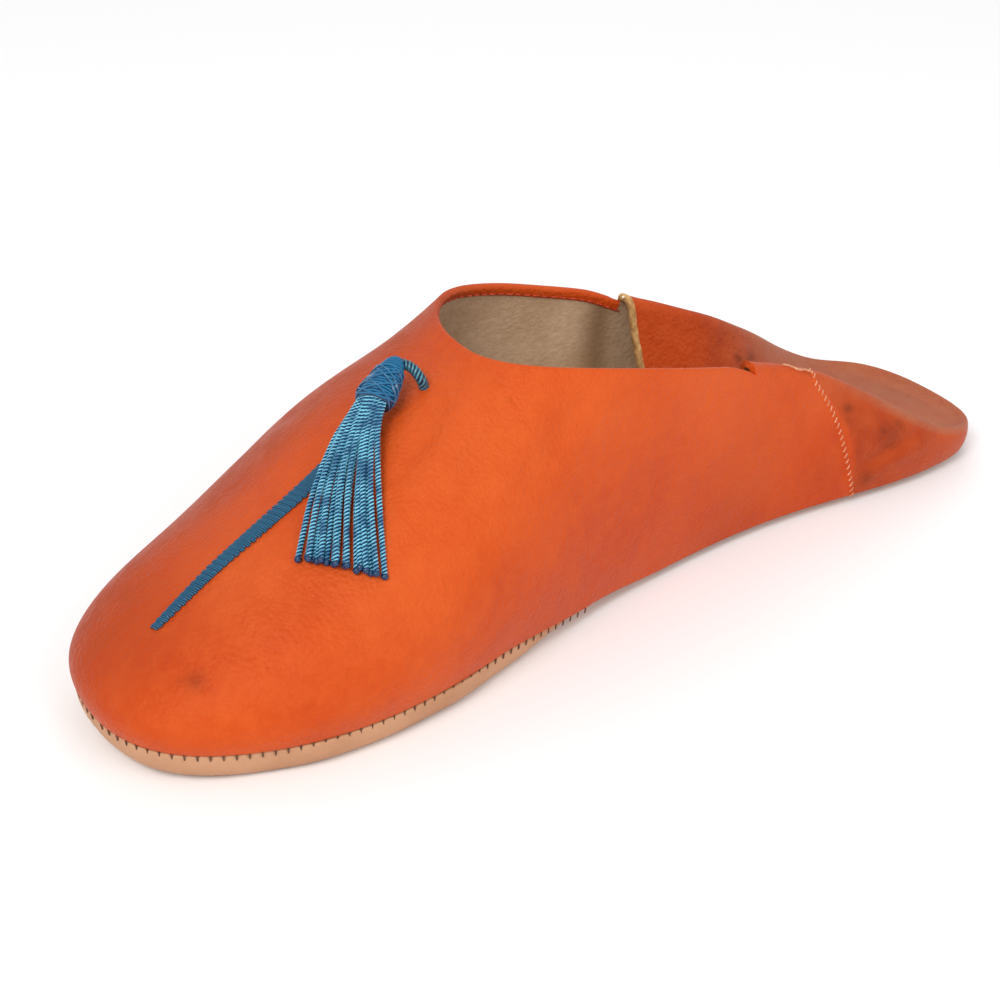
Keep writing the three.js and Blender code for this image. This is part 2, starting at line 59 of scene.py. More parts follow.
# %% The last's tables
LENGTH, BALL, INSTEP, BULGE = 260.0, 84.0, 67.0, 8.0
LEATHER, CLEARANCE, STITCH_STEP = 1.7, 0.3, 2.8
INNER, OUTER = 1, -1
FLAP_EDGE, FOLD_END, FOLD_WIDTH, FOLD_RISE = 0.33, 1.35, 5.6, 2.1

outline_table = np.array([
    # share, inner half width, outer half width
    [0, 0, 0], [0.02, 0.285, 0.18], [0.07, 0.355, 0.255], [0.15, 0.345, 0.295],
    [0.28, 0.276, 0.361], [0.42, 0.265, 0.464], [0.56, 0.315, 0.548], [0.7, 0.41, 0.592],
    [0.82, 0.426, 0.504], [0.92, 0.338, 0.408], [0.98, 0.198, 0.256], [1, 0, 0]])
ridge_table = np.array([
    # share, height of the middle line
    [0, 0.194], [0.08, 0.5], [0.18, 0.896], [0.3, 1.328], [0.42, 1.537], [0.54, 1.209],
    [0.62, 1.001], [0.7, 0.884], [0.8, 0.687], [0.88, 0.545], [0.95, 0.381]])
collar_table = np.array([
    # share, height of the collar
    [0, 0.138], [0.08, 0.222], [0.18, 0.465], [0.3, 0.697], [0.42, 0.85], [0.54, 0.985],
    [0.64, 1.04]])
bulge_table = np.array([
    # share, inner swell, outer swell
    [0, 0.49, 0.49], [0.08, 0.74, 0.75], [0.2, 0.45, 0.45], [0.35, 0.83, 0.96],
    [0.5, 0.94, 1.02], [0.7, 0.98, 1.02], [0.9, 0.675, 0.625], [1, 0.275, 0.275]])
lean_table = np.array([
    # share, how soon the wall leans in
    [0, 0.5], [0.15, 0.61], [0.35, 0.47], [0.55, 0.16], [0.75, 0.35], [1, 0.31]])


def smooth_column(at, value):
    """Natural cubic spline: between two knots the second derivative runs evenly from one knot's
    bend to the next, and it is 0 at both ends."""
    gap, step = np.diff(at), np.diff(value) / np.diff(at)
    inner = np.diag(2 * (gap[:-1] + gap[1:])) + np.diag(gap[1:-1], 1) + np.diag(gap[1:-1], -1)
    bend = np.concatenate(([0], np.linalg.solve(inner, 6 * np.diff(step)), [0]))

    def column(where):
        s = np.clip(where, at[0], at[-1])
        i = np.clip(np.searchsorted(at, s, side="right") - 1, 0, len(gap) - 1)
        before, after, wide = s - at[i], at[i + 1] - s, gap[i]
        curved = (bend[i] * after**3 + bend[i + 1] * before**3) / (6 * wide)
        left = (value[i] / wide - bend[i] * wide / 6) * after
        right = (value[i + 1] / wide - bend[i + 1] * wide / 6) * before
        return curved + left + right

    return column


def turn_at(share):
    """Station of a share of the length: arc cosine of 1 - 2 share, over pi."""
    return np.arccos(1 - 2 * np.asarray(share, float)) / np.pi


def share_at(turn):
    """Share of the length of a station: (1 - cosine of pi turn) / 2."""
    return (1 - np.cos(np.pi * turn)) / 2


half_columns = {
    INNER: smooth_column(turn_at(outline_table[:, 0]), outline_table[:, 1]),
    OUTER: smooth_column(turn_at(outline_table[:, 0]), outline_table[:, 2])}
swell_columns = {
    INNER: smooth_column(bulge_table[:, 0], bulge_table[:, 1]),
    OUTER: smooth_column(bulge_table[:, 0], bulge_table[:, 2])}
ridge_column = smooth_column(*ridge_table.T)
collar_column = smooth_column(*collar_table.T)
lean_column = smooth_column(*lean_table.T)
print("widest half widths", BALL * outline_table[:, 1:].max(axis=0))

# %% [markdown]
# A section of the upper is one Bezier curve. It starts at the seam on the sole, swells out over
# it, climbs the last and ends on the middle line. The collar cuts it off, and behind the collar
# the leather folds over inwards and falls to the middle of the flap. Every function takes whole
# arrays of stations, so thousands of points are worked out at once.


# %% Formulas of the last
def unit(vectors):
    """Each vector divided by its own length."""
    return vectors / np.maximum(np.linalg.norm(vectors, axis=-1, keepdims=True), 1e-9)


def smooth_step(value, low, high):
    """0 below low, 1 above high, and 3t^2 - 2t^3 between them."""
    t = np.clip((value - low) / (high - low), 0, 1)
    return t * t * (3 - 2 * t)


def outline_at(turn, side):
    """Point of the sole's outline and its outward direction, which is its tangent turned by a
    right angle, both on the positive side."""
    before, after = np.maximum(turn - 0.002, 0), np.minimum(turn + 0.002, 1)
    half = half_columns[side]
    forward = LENGTH * (share_at(after) - share_at(before))
    sideways = BALL * (half(after) - half(before))
    out = unit(np.stack([-sideways, forward], -1))
    out[turn <= 0] = (-1, 0)
    out[turn >= 1] = (1, 0)
    return LENGTH * share_at(turn), BALL * half(turn), out


def middle_x(x):
    """Foot of a section on the middle line: it lags behind the outline at both ends."""
    share = x / LENGTH
    toe, heel = np.maximum((share - 0.7) / 0.3, 0), np.maximum(1 - share / 0.24, 0)
    return x + LENGTH * (0.054 * heel**2 - 0.06 * toe**2)


def sole_rise(x, y):
    """Height of the sole's underside: a squared sine under the waist, a square at the tip."""
    share = x / LENGTH
    across = 0.6 + 0.4 * np.clip(y / (0.3 * BALL), -1, 1)
    waist = np.clip((share - 0.27) / 0.33, 0, 1)
    return 1.6 * across * np.sin(np.pi * waist) ** 2 + 2 * np.maximum((share - 0.86) / 0.14, 0) ** 2


def lip_top(x):
    """Height of the sole's lip: a smooth step down from the forefoot to the waist."""
    drop = 3.8 * (1 - smooth_step(x / LENGTH, 0.54, 0.68))
    return 8 - drop + sole_rise(np.maximum(x, 0.7 * LENGTH), 0)


def foot_height(x):
    """Height of the leather's lower edge: behind the waist it comes down beside the sole."""
    return lip_top(x) + CLEARANCE - 1.7 * (1 - smooth_step(x / LENGTH, 0.44, 0.54))


def tuck_in(x):
    """How far the sole is drawn in under the leather, from the waist back."""
    return (LEATHER + 2 * CLEARANCE) * (1 - smooth_step(x / LENGTH, 0.54, 0.64))


def ridge_height(x):
    """Height of the last's middle line."""
    return INSTEP * ridge_column(x / LENGTH)


def collar_height(x):
    """Height of the collar, and of the start of the fold behind the flap's front edge."""
    share = x / LENGTH
    opened = smooth_step(share, FLAP_EDGE - 0.02, FLAP_EDGE + 0.04)
    return INSTEP * collar_column(share) - FOLD_RISE * (1 - opened)


def bezier(corners, t):
    """Cubic Bezier: the four corners weighted by the terms of ((1 - t) + t) cubed."""
    t = np.asarray(t)[..., None]
    a, b, c, d = corners
    return (1 - t) ** 3 * a + 3 * t * (1 - t) ** 2 * b + 3 * t**2 * (1 - t) * c + t**3 * d


def last_section(turn, side):
    """Four Bezier corners of the section at each station."""
    x, y, out = outline_at(turn, side)
    middle = middle_x(x)
    height, foot = ridge_height(middle), foot_height(x)
    slope = ridge_height(middle + 0.5) - ridge_height(middle - 0.5)
    follow = np.clip((middle / LENGTH - 0.2) / 0.4, 0, 1)
    swell = 1.33 * BULGE * swell_columns[side](x / LENGTH)
    rounded = 1 - lean_column(x / LENGTH)
    start = np.stack([x, y, foot], -1)
    low = start + np.stack([out[..., 0] * swell, out[..., 1] * swell, 0.45 * (height - foot)], -1)
    high_x = middle + rounded * (x - middle)
    high = np.stack([high_x, rounded * y, height + slope * follow * (high_x - middle)], -1)
    return start, low, high, np.stack([middle, 0 * x, height], -1)


def cut_off(section):
    """Where the collar cuts a section, found by halving, or 1 where the leather closes."""
    x, height = section[0][..., 0], collar_height(section[0][..., 0])
    low, high = np.zeros_like(x), np.ones_like(x)
    for _ in range(30):
        half = (low + high) / 2
        below = bezier(section, half)[..., 2] < height
        low, high = np.where(below, half, low), np.where(below, high, half)
    return np.where((x > 0.66 * LENGTH) | (section[3][..., 2] <= height), 1, low)


def leather_point(turn, level, side):
    """Outside of the leather. Level 0 is the seam on the sole, 1 the collar or the fold, and 2
    the middle line of the flap."""
    turn, level = np.broadcast_arrays(np.asarray(turn, float), np.asarray(level, float))
    wall = last_section(turn, side)
    cut = cut_off(wall)
    top = bezier(wall, cut)
    rise = unit(top - bezier(wall, 0.98 * cut))
    x = wall[0][..., 0]
    floor = 8.8 - 1.4 * np.minimum(x / LENGTH / FLAP_EDGE, 1)
    middle = np.stack([middle_x(x), 0 * x, floor], -1)
    flat = (middle - top) * (1, 1, 0)
    reach, inward = np.linalg.norm(flat, axis=-1)[..., None], unit(flat)
    steep = np.arctan2(top[..., 2] - floor, 10)[..., None]
    down = inward * np.cos(steep) - np.array([0, 0, 1]) * np.sin(steep)
    over = top + inward * FOLD_WIDTH
    turn_in = 0.675 * FOLD_WIDTH
    fold = (top, top + rise * turn_in, over - down * turn_in, over)
    fall_length = 0.42 * np.linalg.norm(over - middle, axis=-1)[..., None]
    fall = (over, over + down * fall_length, middle - inward * 0.45 * (reach - FOLD_WIDTH), middle)
    on_wall = bezier(wall, cut * np.minimum(level, 1))
    on_fold = bezier(fold, np.clip((level - 1) / (FOLD_END - 1), 0, 1))
    on_fall = bezier(fall, np.clip((level - FOLD_END) / (2 - FOLD_END), 0, 1))
    levels = level[..., None]
    point = np.where(levels <= 1, on_wall, np.where(levels <= FOLD_END, on_fold, on_fall))
    return point * (1, side, 1)


def leather_normal(turn, level, side, step=2e-3):
    """Outward direction: the cross product of the surface's two slopes, taken by differences."""
    turn, level = np.broadcast_arrays(np.asarray(turn, float), np.asarray(level, float))
    a, b = np.clip(turn - step, 0, 1), np.clip(turn + step, 0, 1)
    along = leather_point(b, level, side) - leather_point(a, level, side)
    up = leather_point(turn, level + step, side) - leather_point(turn, level - step, side)
    return side * unit(np.cross(up, along))


def seam_turn(level):
    """Station of the counter's seam: it leans forward evenly and, near the fold, with a high
    power of the level."""
    up = np.minimum(level, 1)
    return turn_at(0.198 + 0.03 * up + 0.018 * up**6)


def throat_turn():
    """First station where the leather closes over the middle line, found by halving."""
    low, high = turn_at(0.5), turn_at(0.66)
    for _ in range(40):
        half = (low + high) / 2
        x = LENGTH * share_at(half)
        low, high = (half, high) if ridge_height(x) > collar_height(x) else (low, half)
    return high


flap_turn, throat = turn_at(FLAP_EDGE), throat_turn()
throat_x = float(LENGTH * share_at(throat))
seam_half = CLEARANCE / (LENGTH * np.pi * 0.4)
print("throat at", round(throat_x, 1), "mm from the heel")

# %% [markdown]
# Some pieces lie on the vamp at a place that is known from above: the embroidery and the tassel.
# A ray could be cast down on the mesh for each of them. Newton's method does it for whole arrays:
# it corrects station and level by the surface's own slopes until the point has the wanted x and y.


# %% Find the leather below a place
def leather_under(x, y, rounds=12):
    """Point and outward direction of the vamp straight below places in plan."""
    x, y = np.broadcast_arrays(np.asarray(x, float), np.asarray(y, float))
    point, normal = np.zeros(x.shape + (3,)), np.zeros(x.shape + (3,))
    for side in (INNER, OUTER):
        mine = (y >= 0) if side == INNER else (y < 0)
        if not mine.any():
            continue
        goal = np.stack([x[mine], y[mine]], -1)
        turn, level = turn_at(np.clip(x[mine] / LENGTH, 0, 0.99)), np.full(mine.sum(), 0.8)
        for _ in range(rounds):
            here = leather_point(turn, level, side)
            by_turn = (leather_point(turn + 1e-4, level, side) - here)[:, :2] / 1e-4
            by_level = (leather_point(turn, level - 1e-4, side) - here)[:, :2] / -1e-4
            miss = goal - here[:, :2]
            size = by_turn[:, 0] * by_level[:, 1] - by_turn[:, 1] * by_level[:, 0]
            size = np.where(np.abs(size) < 1e-6, 1e-6, size)
            more_turn = (miss[:, 0] * by_level[:, 1] - miss[:, 1] * by_level[:, 0]) / size
            more_level = (by_turn[:, 0] * miss[:, 1] - by_turn[:, 1] * miss[:, 0]) / size
            turn = np.clip(turn + np.clip(more_turn, -0.05, 0.05), 0.3, 0.995)
            level = np.clip(level + np.clip(more_level, -0.2, 0.2), 0.02, 1)
        point[mine] = leather_point(turn, level, side)
        normal[mine] = leather_normal(turn, np.minimum(level, 0.997), side)
    return point, normal


print("leather under the tassel", leather_under(np.array([180.0]), np.array([0.0]))[0].round(1))

# %% [markdown]
# Meshes are collected in two ways. Sheets are grids of points that share their edges, and tubes
# are rings of points along a path. Both are whole arrays. The shoe's own millimetres become the
# frame's metres only when the mesh is made, so each object stays at the origin.

# %% Mesh helpers
sole_front = 1000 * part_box("outsole")[1][0]
ROW_SHIFT = np.array([sole_front - LENGTH, 6.893, 0.0])
print("the shoe's own frame starts", ROW_SHIFT.round(3), "mm from the packed one")


def add_piece(name, points, faces, materials, replaces=(), parts=None, fields=None):
    """Makes a mesh object from points in millimetres and lists of corners, and lets it ride.
    `parts` tells which material each face has, and `fields` holds a value for each point."""
    mesh = bpy.data.meshes.new(name)
    mesh.from_pydata(((points + ROW_SHIFT) / 1000).tolist(), [], faces)
    for material in materials:
        mesh.materials.append(material)
    if parts is not None:
        mesh.polygons.foreach_set("material_index", np.asarray(parts, np.int32))
    for field, values in (fields or {}).items():
        made = mesh.attributes.new(field, "FLOAT", "POINT")
        made.data.foreach_set("value", np.asarray(values, np.float32))
    mesh.polygons.foreach_set("use_smooth", np.ones(len(mesh.polygons), bool))
    mesh.set_sharp_from_angle(angle=math.radians(50))
    mesh.validate()
    piece = bpy.data.objects.new(name, mesh)
    bpy.context.collection.objects.link(piece)
    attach(piece, "root")
    if replaces:
        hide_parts(*replaces)
    print(name, len(points), "points")


def join_grids(grids):
    """One sheet from grids of points: equal points become one, found by their rounded places.
    Columns after x, y and z are carried along."""
    points, faces, start = [], [], 0
    for grid, side in grids:
        rows, across = grid.shape[:2]
        i, j = np.meshgrid(np.arange(rows - 1), np.arange(across - 1), indexing="ij")
        a = (start + i * across + j).ravel()
        quad = (a, a + 1, a + across + 1, a + across)
        faces.append(np.stack(quad if side == INNER else quad[::-1], -1))
        points.append(grid.reshape(-1, grid.shape[-1]))
        start += rows * across
    points, faces = np.concatenate(points), np.concatenate(faces)
    places = np.round(points[:, :3] / 0.004)
    _, first, same = np.unique(places, axis=0, return_index=True, return_inverse=True)
    faces = same.ravel()[faces]
    kept = np.array([len(set(face)) == 4 for face in faces.tolist()])
    return points[first], faces[kept]


def sheet_normals(points, faces):
    """Direction of each point: the sum of its faces' crossed diagonals."""
    corner = points[faces]
    crossed = np.cross(corner[:, 2] - corner[:, 0], corner[:, 3] - corner[:, 1])
    total = np.zeros_like(points)
    for k in range(4):
        np.add.at(total, faces[:, k], crossed)
    return unit(total)


def ring_faces(count, steps, sides):
    """Faces of `count` tubes with `steps` rings each, and their two end caps."""
    base = sides * (np.arange(count)[:, None, None] * steps + np.arange(steps - 1)[:, None])
    j = np.arange(sides)
    k = (j + 1) % sides
    quads = np.stack(np.broadcast_arrays(base + j, base + k, base + k + sides, base + j + sides), -1)
    first = sides * steps * np.arange(count)[:, None] + j[::-1]
    last = sides * (steps * np.arange(count)[:, None] + steps - 1) + j
    return quads.reshape(-1, 4).tolist() + first.tolist() + last.tolist()


def tubes(paths, up, radius, sides=6, flat=1.0):
    """Closed tubes: a ring of points round each place of each path, with caps at both ends. The
    ring lies in the plane of `up` and of the direction across the path."""
    count, steps = paths.shape[:2]
    along = unit(np.gradient(paths, axis=1))
    above = unit(up - along * np.sum(up * along, axis=-1, keepdims=True))
    across = np.cross(above, along)
    angle = 2 * np.pi * np.arange(sides) / sides
    wide = np.broadcast_to(radius, (count, steps))[..., None, None]
    ring = across[:, :, None] * np.cos(angle)[:, None] + above[:, :, None] * flat * np.sin(angle)[:, None]
    points = (paths[:, :, None] + wide * ring).reshape(-1, 3)
    return points, ring_faces(count, steps, sides)


def stack_meshes(meshes):
    """Several lists of points and faces as one."""
    points, faces, start = [], [], 0
    for some, corners in meshes:
        points.append(some)
        faces += [[start + c for c in face] for face in corners]
        start += len(some)
    return np.concatenate(points), faces


# %% [markdown]
# A finish is a small network of shader nodes. Written out node by node it is long and hard to
# read, so one class wraps a socket: an expression such as `1 - mask * 0.5` adds its Math nodes by
# itself, and `Wire.node` adds any other node.


# %% Shader helpers
class Wire:
    """A socket that carries a value. Operators join it to others with Math nodes."""

    tree = None

    def __init__(self, socket):
        self.socket = socket

    @classmethod
    def node(cls, kind, settings=None, sockets=None, out=0):
        """Adds a node: its settings first, then the values or wires of its sockets."""
        made = cls.tree.nodes.new("ShaderNode" + kind)
        for key, value in (settings or {}).items():
            setattr(made, key, value)
        for key, value in (sockets or {}).items():
            if isinstance(value, Wire):
                cls.tree.links.new(value.socket, made.inputs[key])
            elif value is not None:
                made.inputs[key].default_value = value
        return cls(made.outputs[out]) if len(made.outputs) else None

    def math(self, operation, other=None, swapped=False):
        """One Math node with this wire and another value, in either order."""
        pair = {0: other, 1: self} if swapped else {0: self, 1: other}
        return Wire.node("Math", {"operation": operation}, pair)

    def __add__(self, other):
        return self.math("ADD", other)

    def __sub__(self, other):
        return self.math("SUBTRACT", other)

    def __rsub__(self, other):
        return self.math("SUBTRACT", other, swapped=True)

    def __mul__(self, other):
        return self.math("MULTIPLY", other)

    __radd__ = __add__
    __rmul__ = __mul__

    def between(self, low, high, to_low=0.0, to_high=1.0):
        """A smooth step from one value to another, clamped."""
        return Wire.node("MapRange", {"interpolation_type": "SMOOTHSTEP"},
                         {0: self, 1: low, 2: high, 3: to_low, 4: to_high})


def colour_mix(factor, first, second):
    """Two colours mixed by a factor."""
    return Wire.node("Mix", {"data_type": "RGBA"}, {0: factor, 6: first, 7: second}, out=2)


def field(name):
    """A value that the mesh stores at each point."""
    return Wire.node("Attribute", {"attribute_name": name}, out=2)


def place():
    """The point's own place on the object, in metres."""
    return Wire.node("TexCoord", out=3)


def noise(scale, detail=3.0, rough=0.55, stretch=None):
    """Cloudy noise whose blotches are about 1 / scale metres wide."""
    at = place()
    if stretch:
        at = Wire.node("Mapping", {}, {"Vector": at, "Scale": stretch})
    return Wire.node("TexNoise", {},
                     {"Vector": at, "Scale": scale, "Detail": detail, "Roughness": rough})


def srgb(red, green, blue):
    """A screen colour from 0 to 255 as the linear colour that shaders use."""
    part = np.array([red, green, blue]) / 255
    linear = np.where(part <= 0.04045, part / 12.92, ((part + 0.055) / 1.055) ** 2.4)
    return (*linear.tolist(), 1.0)


def finish(name, colour, roughness, height=None, depth=0.0, fixed=None):
    """A material: colour and roughness may vary, a height in metres gives the bump, and fixed
    values go straight on the shader."""
    values = {"Base Color": colour, "Roughness": roughness}
    if height is not None:
        values["Normal"] = Wire.node("Bump", {}, {"Height": height, "Distance": depth, "Strength": 1.0})
    values.update(fixed or {})
    shader = Wire.node("BsdfPrincipled", {}, values)
    Wire.node("OutputMaterial", {}, {"Surface": shader})
    return bpy.data.materials[name]


def new_material(name):
    """An empty material whose node tree takes the next nodes."""
    material = bpy.data.materials.new(name)
    material.use_nodes = True
    Wire.tree = material.node_tree
    Wire.tree.nodes.clear()
    return material


print("a middle grey of the screen is", round(srgb(128, 128, 128)[0], 3), "in linear light")
# %% [markdown]
# ## The leather
# Dyed leather is never one colour. The dye soaks in unevenly, the grain catches the light, and
# hands and feet leave darker places. An image could be wrapped round it, but clouds of noise at
# three sizes do the same at any distance. Where the real shoe is worn or stained, the mesh itself
# stores a value, so the mark stays where the hand put it. The mesh also stores painted light on the
# near crowns and painted shade on the far side and in the hollows.


# %% Leather finishes
GLOSS = {"Specular IOR Level": 0.3, "Specular Tint": (1.0, 0.55, 0.35, 1.0)}


def leather_height():
    """Pebbles, pores and a wider unevenness, from three noises."""
    pebbles = Wire.node("TexVoronoi", {"feature": "SMOOTH_F1"},
                        {"Vector": place(), "Scale": 950.0, "Smoothness": 0.6})
    return pebbles * 0.7 + noise(2600, 2) * 0.35 + noise(330, 4) * 1.4


def dyed_finish(name):
    """Orange dye in wide clouds and a finer mottle. Five values of the mesh change it: `worn` is
    browner, `topped` is the greyed top of the heel, and the others are stains, paler rubbed places
    that also carry painted light on the near crowns, and painted shade on the far side and in the
    hollows."""
    new_material(name)
    cloud = noise(22, 4, 0.6).between(0.36, 0.66)
    mottle = noise(170, 5, 0.65).between(0.36, 0.74)
    fresh = colour_mix(cloud * 0.8, srgb(200, 75, 22), srgb(183, 58, 13))
    fresh = colour_mix(mottle * 0.4, fresh, srgb(212, 92, 38))
    old = colour_mix(cloud, srgb(174, 64, 20), srgb(150, 50, 15))
    old = colour_mix(mottle * 0.5, old, srgb(182, 80, 38))
    colour = colour_mix(field("worn"), fresh, old)
    colour = colour_mix(field("topped") * (0.7 + mottle * 0.3), colour, srgb(170, 104, 76))
    # Paler where the leather is rubbed, and painted light on the near crowns that face the lamps.
    colour = colour_mix(field("rubbed_and_lit") * (0.6 + cloud * 0.4), colour, srgb(218, 102, 48))
    # Painted shade: darker on the far side of the vamp and in the hollows.
    colour = colour_mix(field("painted_shade") * (0.7 + mottle * 0.3), colour, srgb(140, 48, 18))
    colour = colour_mix(field("stained") * (0.35 + noise(600, 4, 0.7) * 0.9), colour, srgb(96, 34, 14))
    rough = 0.44 + mottle * 0.14 - field("rubbed_and_lit") * 0.06
    return finish(name, colour, rough, leather_height(), 0.00028, GLOSS)


def lining_finish(name):
    """The grey-tan inside: a fine mottle, darker in a band beside the flap's edge and towards the bottom.
    """
    new_material(name)
    cloud, mottle = noise(30, 4, 0.6), noise(520, 5, 0.7)
    colour = colour_mix(cloud.between(0.35, 0.65), srgb(214, 183, 150), srgb(196, 163, 128))
    colour = colour_mix(mottle.between(0.35, 0.7) * 0.3, colour, srgb(168, 134, 100))
    # Darker in a band beside the flap's edge and towards the bottom.
    colour = colour_mix(field("darker_band_and_bottom"), colour, srgb(120, 88, 54))
    return finish(name, colour, 0.75, leather_height(), 0.00014, {"Specular IOR Level": 0.25})


upper_leather = dyed_finish("orange_leather")
lining_leather = lining_finish("tan_lining")
print("leather finishes", [m.name for m in (upper_leather, lining_leather)])

# %% [markdown]
# ## Creases and marks
# Leather that was pulled off a last keeps soft folds. They could be sculpted or simulated, but here
# each is listed: a bent line in the shoe's own sizes, pressed in or raised with a bell
# curve. A few long, faint waves over all of it take away the look of a machine.

# %% Creases, in millimetres
creases = [
    # three points of the line, depth (negative presses in), half width
    ([(187, 14, 54), (178, 11, 59), (170, 5, 63)], -0.9, 2.8),
    ([(184, 20, 50), (174, 15, 58), (163, 10, 64)], 0.55, 2.8),
    ([(178, 24, 50), (167, 20, 57), (155, 15, 63)], -1.0, 2.8),
    ([(172, 30, 46), (160, 24, 55), (148, 19, 62)], 0.6, 2.8),
    ([(164, 32, 46), (152, 27, 54), (141, 23, 60)], -0.9, 2.6),
    ([(154, 36, 42), (144, 30, 52), (134, 26, 58)], 0.55, 3.0),
    ([(148, 37, 38), (136, 33, 48), (127, 29, 56)], -0.8, 2.8),
    ([(196, 27, 44), (186, 26, 49), (176, 24, 54)], -0.7, 3.0),
    ([(163, 42, 36), (175, 37, 43), (188, 29, 47)], -0.8, 3.4),
    ([(128, 35, 36), (122, 32, 46), (117, 29, 54)], 0.5, 3.4),
    ([(118, 33, 34), (114, 31, 44), (110, 29, 52)], -0.7, 3.0),
    ([(104, 30, 30), (104, 31, 40), (102, 29, 49)], 0.45, 4.0),
    ([(94, 29, 24), (92, 30, 35), (89, 28, 45)], -0.7, 3.4),
    ([(80, 29, 20), (77, 29, 30), (73, 27, 40)], 0.45, 4.0),
    ([(70, 30, 10), (68, 30, 20), (64, 28, 32)], -0.6, 3.6),
    ([(205, 36, 30), (214, 28, 35), (220, 18, 38)], -0.6, 4.4),
    ([(222, 30, 24), (230, 22, 28), (235, 10, 31)], -0.5, 4.0),
    ([(196, 40, 26), (206, 36, 31), (214, 28, 36)], 0.4, 4.6),
    ([(50, 28, 11), (41, 29, 14), (33, 30, 16)], -1.0, 2.2),
    ([(46, 29, 9), (38, 30, 11), (28, 30, 12)], 0.5, 2.4),
    ([(58, 27, 28), (57, 28, 19), (54, 29, 10)], -0.6, 2.6),
    ([(176, -24, 52), (186, -30, 45), (194, -36, 36)], -0.7, 4.2),
    ([(150, -28, 56), (158, -36, 48), (164, -44, 38)], -0.8, 4.2),
    ([(120, -28, 54), (122, -35, 44), (124, -40, 32)], 0.55, 4.6),
    ([(92, -26, 42), (90, -30, 32), (88, -33, 22)], -0.7, 4.2),
    ([(56, -18, 34), (60, -17, 30), (63, -15, 26)], -0.9, 2.0),
    ([(72, -18, 34), (68, -12, 22), (64, -2, 11)], 0.6, 4.0),
    ([(48, -18, 26), (52, -10, 17), (58, 0, 10)], -0.7, 3.4),
]


def line_distance(points, corners, steps=18):
    """Distance of every point to a bent line, and how far along it, from 0 to 1. The line is a
    quadratic Bezier curve through the middle of its three corners."""
    a, b, c = (np.array(corner, float) for corner in corners)
    t = np.linspace(0, 1, steps)[:, None]
    middle = 2 * b - (a + c) / 2
    line = (1 - t) ** 2 * a + 2 * t * (1 - t) * middle + t**2 * c
    gap = np.linalg.norm(points[:, None] - line[None], axis=-1)
    return gap.min(axis=1), gap.argmin(axis=1) / (steps - 1)


def relief(points):
    """Height of the leather over the last: bell curves across the creases, which fade at their
    ends, and two faint swells, a short one and a long one. It fades to 0 at the sole's seam."""
    x, y, z = points.T
    height = 0.12 * np.sin(x / 5.3 + z / 7.1) * np.sin(y / 6.7 - z / 8.0)
    height += 0.22 * np.sin(x / 13.1 - y / 10.3 + 1.1) * np.sin(z / 12.7 + 0.4)
    for corners, depth, wide in creases:
        gap, along = line_distance(points, corners)
        fade = np.sin(np.pi * np.clip(0.08 + 0.84 * along, 0, 1)) ** 0.7
        height += depth * fade * np.exp(-((gap / wide) ** 2))
    return height * smooth_step(z, foot_height(x) + 0.5, foot_height(x) + 9)


def marks(points, spots):
    """A value for each point: the greatest of round bells, one for each x, y, z, radius and
    strength."""
    value = np.zeros(len(points))
    for x, y, z, wide, strong in spots:
        gap = np.linalg.norm(points - (x, y, z), axis=1)
        value = np.maximum(value, strong * np.exp(-((gap / wide) ** 2)))
    return value


print(len(creases), "creases")

# %% [markdown]
# ## The upper and the trodden-down counter
# The vamp and the quarters are one piece of leather, and the counter is sewn on behind. Each is a
# thin wall with two faces and a rim, not a solid block. Solidify could give the wall, but the rim
# needs a round collar here and a flat cut there, so the wall is worked out: the sheet, a copy set
# inwards along its normals, and an arc of points round every open edge.


# %% Walls from sheets
def wall_of(sheet, faces, thickness, bulge):
    """Points and faces of a wall, the kind of each face (0 outside, 1 inside, 2 rim) and the level
    of each point. The rim is half an oval: half the thickness along the normal, and `bulge` out
    over the edge."""
    points, level = sheet[:, :3], sheet[:, 3]
    normal = sheet_normals(points, faces)
    points = points + normal * relief(points)[:, None]
    inside = points - thickness * normal
    edges = np.concatenate([faces[:, [k, (k + 1) % 4]] for k in range(4)])
    _, first, times = np.unique(np.sort(edges, axis=1), axis=0, return_index=True, return_counts=True)
    rim = edges[first[times == 1]]
    tangent = np.zeros_like(points)
    for k in range(2):
        np.add.at(tangent, rim[:, k], points[rim[:, 1]] - points[rim[:, 0]])
    corner, rim = np.unique(rim, return_inverse=True)
    rim = rim.reshape(-1, 2)
    outwards = unit(np.cross(tangent[corner], normal[corner])) * bulge(points[corner])[:, None]
    centre = (points[corner] + inside[corner]) / 2
    arcs = [centre + math.cos(a) * thickness / 2 * normal[corner] + math.sin(a) * outwards
            for a in np.linspace(0, math.pi, 6)[1:-1]]
    count, size = len(points), len(corner)
    rows = [corner] + [2 * count + k * size + np.arange(size) for k in range(4)] + [count + corner]
    rims = [np.stack([low[rim[:, 1]], low[rim[:, 0]], high[rim[:, 0]], high[rim[:, 1]]], -1)
            for low, high in zip(rows, rows[1:])]
    every = np.concatenate([points, inside, *arcs])
    quads = np.concatenate([faces, faces[:, ::-1] + count, *rims])
    kinds = np.repeat([0, 1, 2], [len(faces), len(faces), len(quads) - 2 * len(faces)])
    return every, quads, kinds, np.concatenate([level, level, np.tile(level[corner], 4)])


wall_levels = np.linspace(0, 1, 57)
all_levels = np.concatenate(
    [wall_levels, np.linspace(1, FOLD_END, 17)[1:], np.linspace(FOLD_END, 2, 25)[1:]])


def seam_gap(levels):
    """Half the gap at the seam as a turn: it closes on the flap, where no seam is seen."""
    return seam_half * (1 - smooth_step(levels, 1.0, 1.2))


def levelled(turns, levels, side):
    """A grid of points on the leather whose fourth column is the level."""
    points = leather_point(turns, levels, side)
    level = np.broadcast_to(levels, points.shape[:2])[..., None]
    return np.concatenate([points, level], -1), side


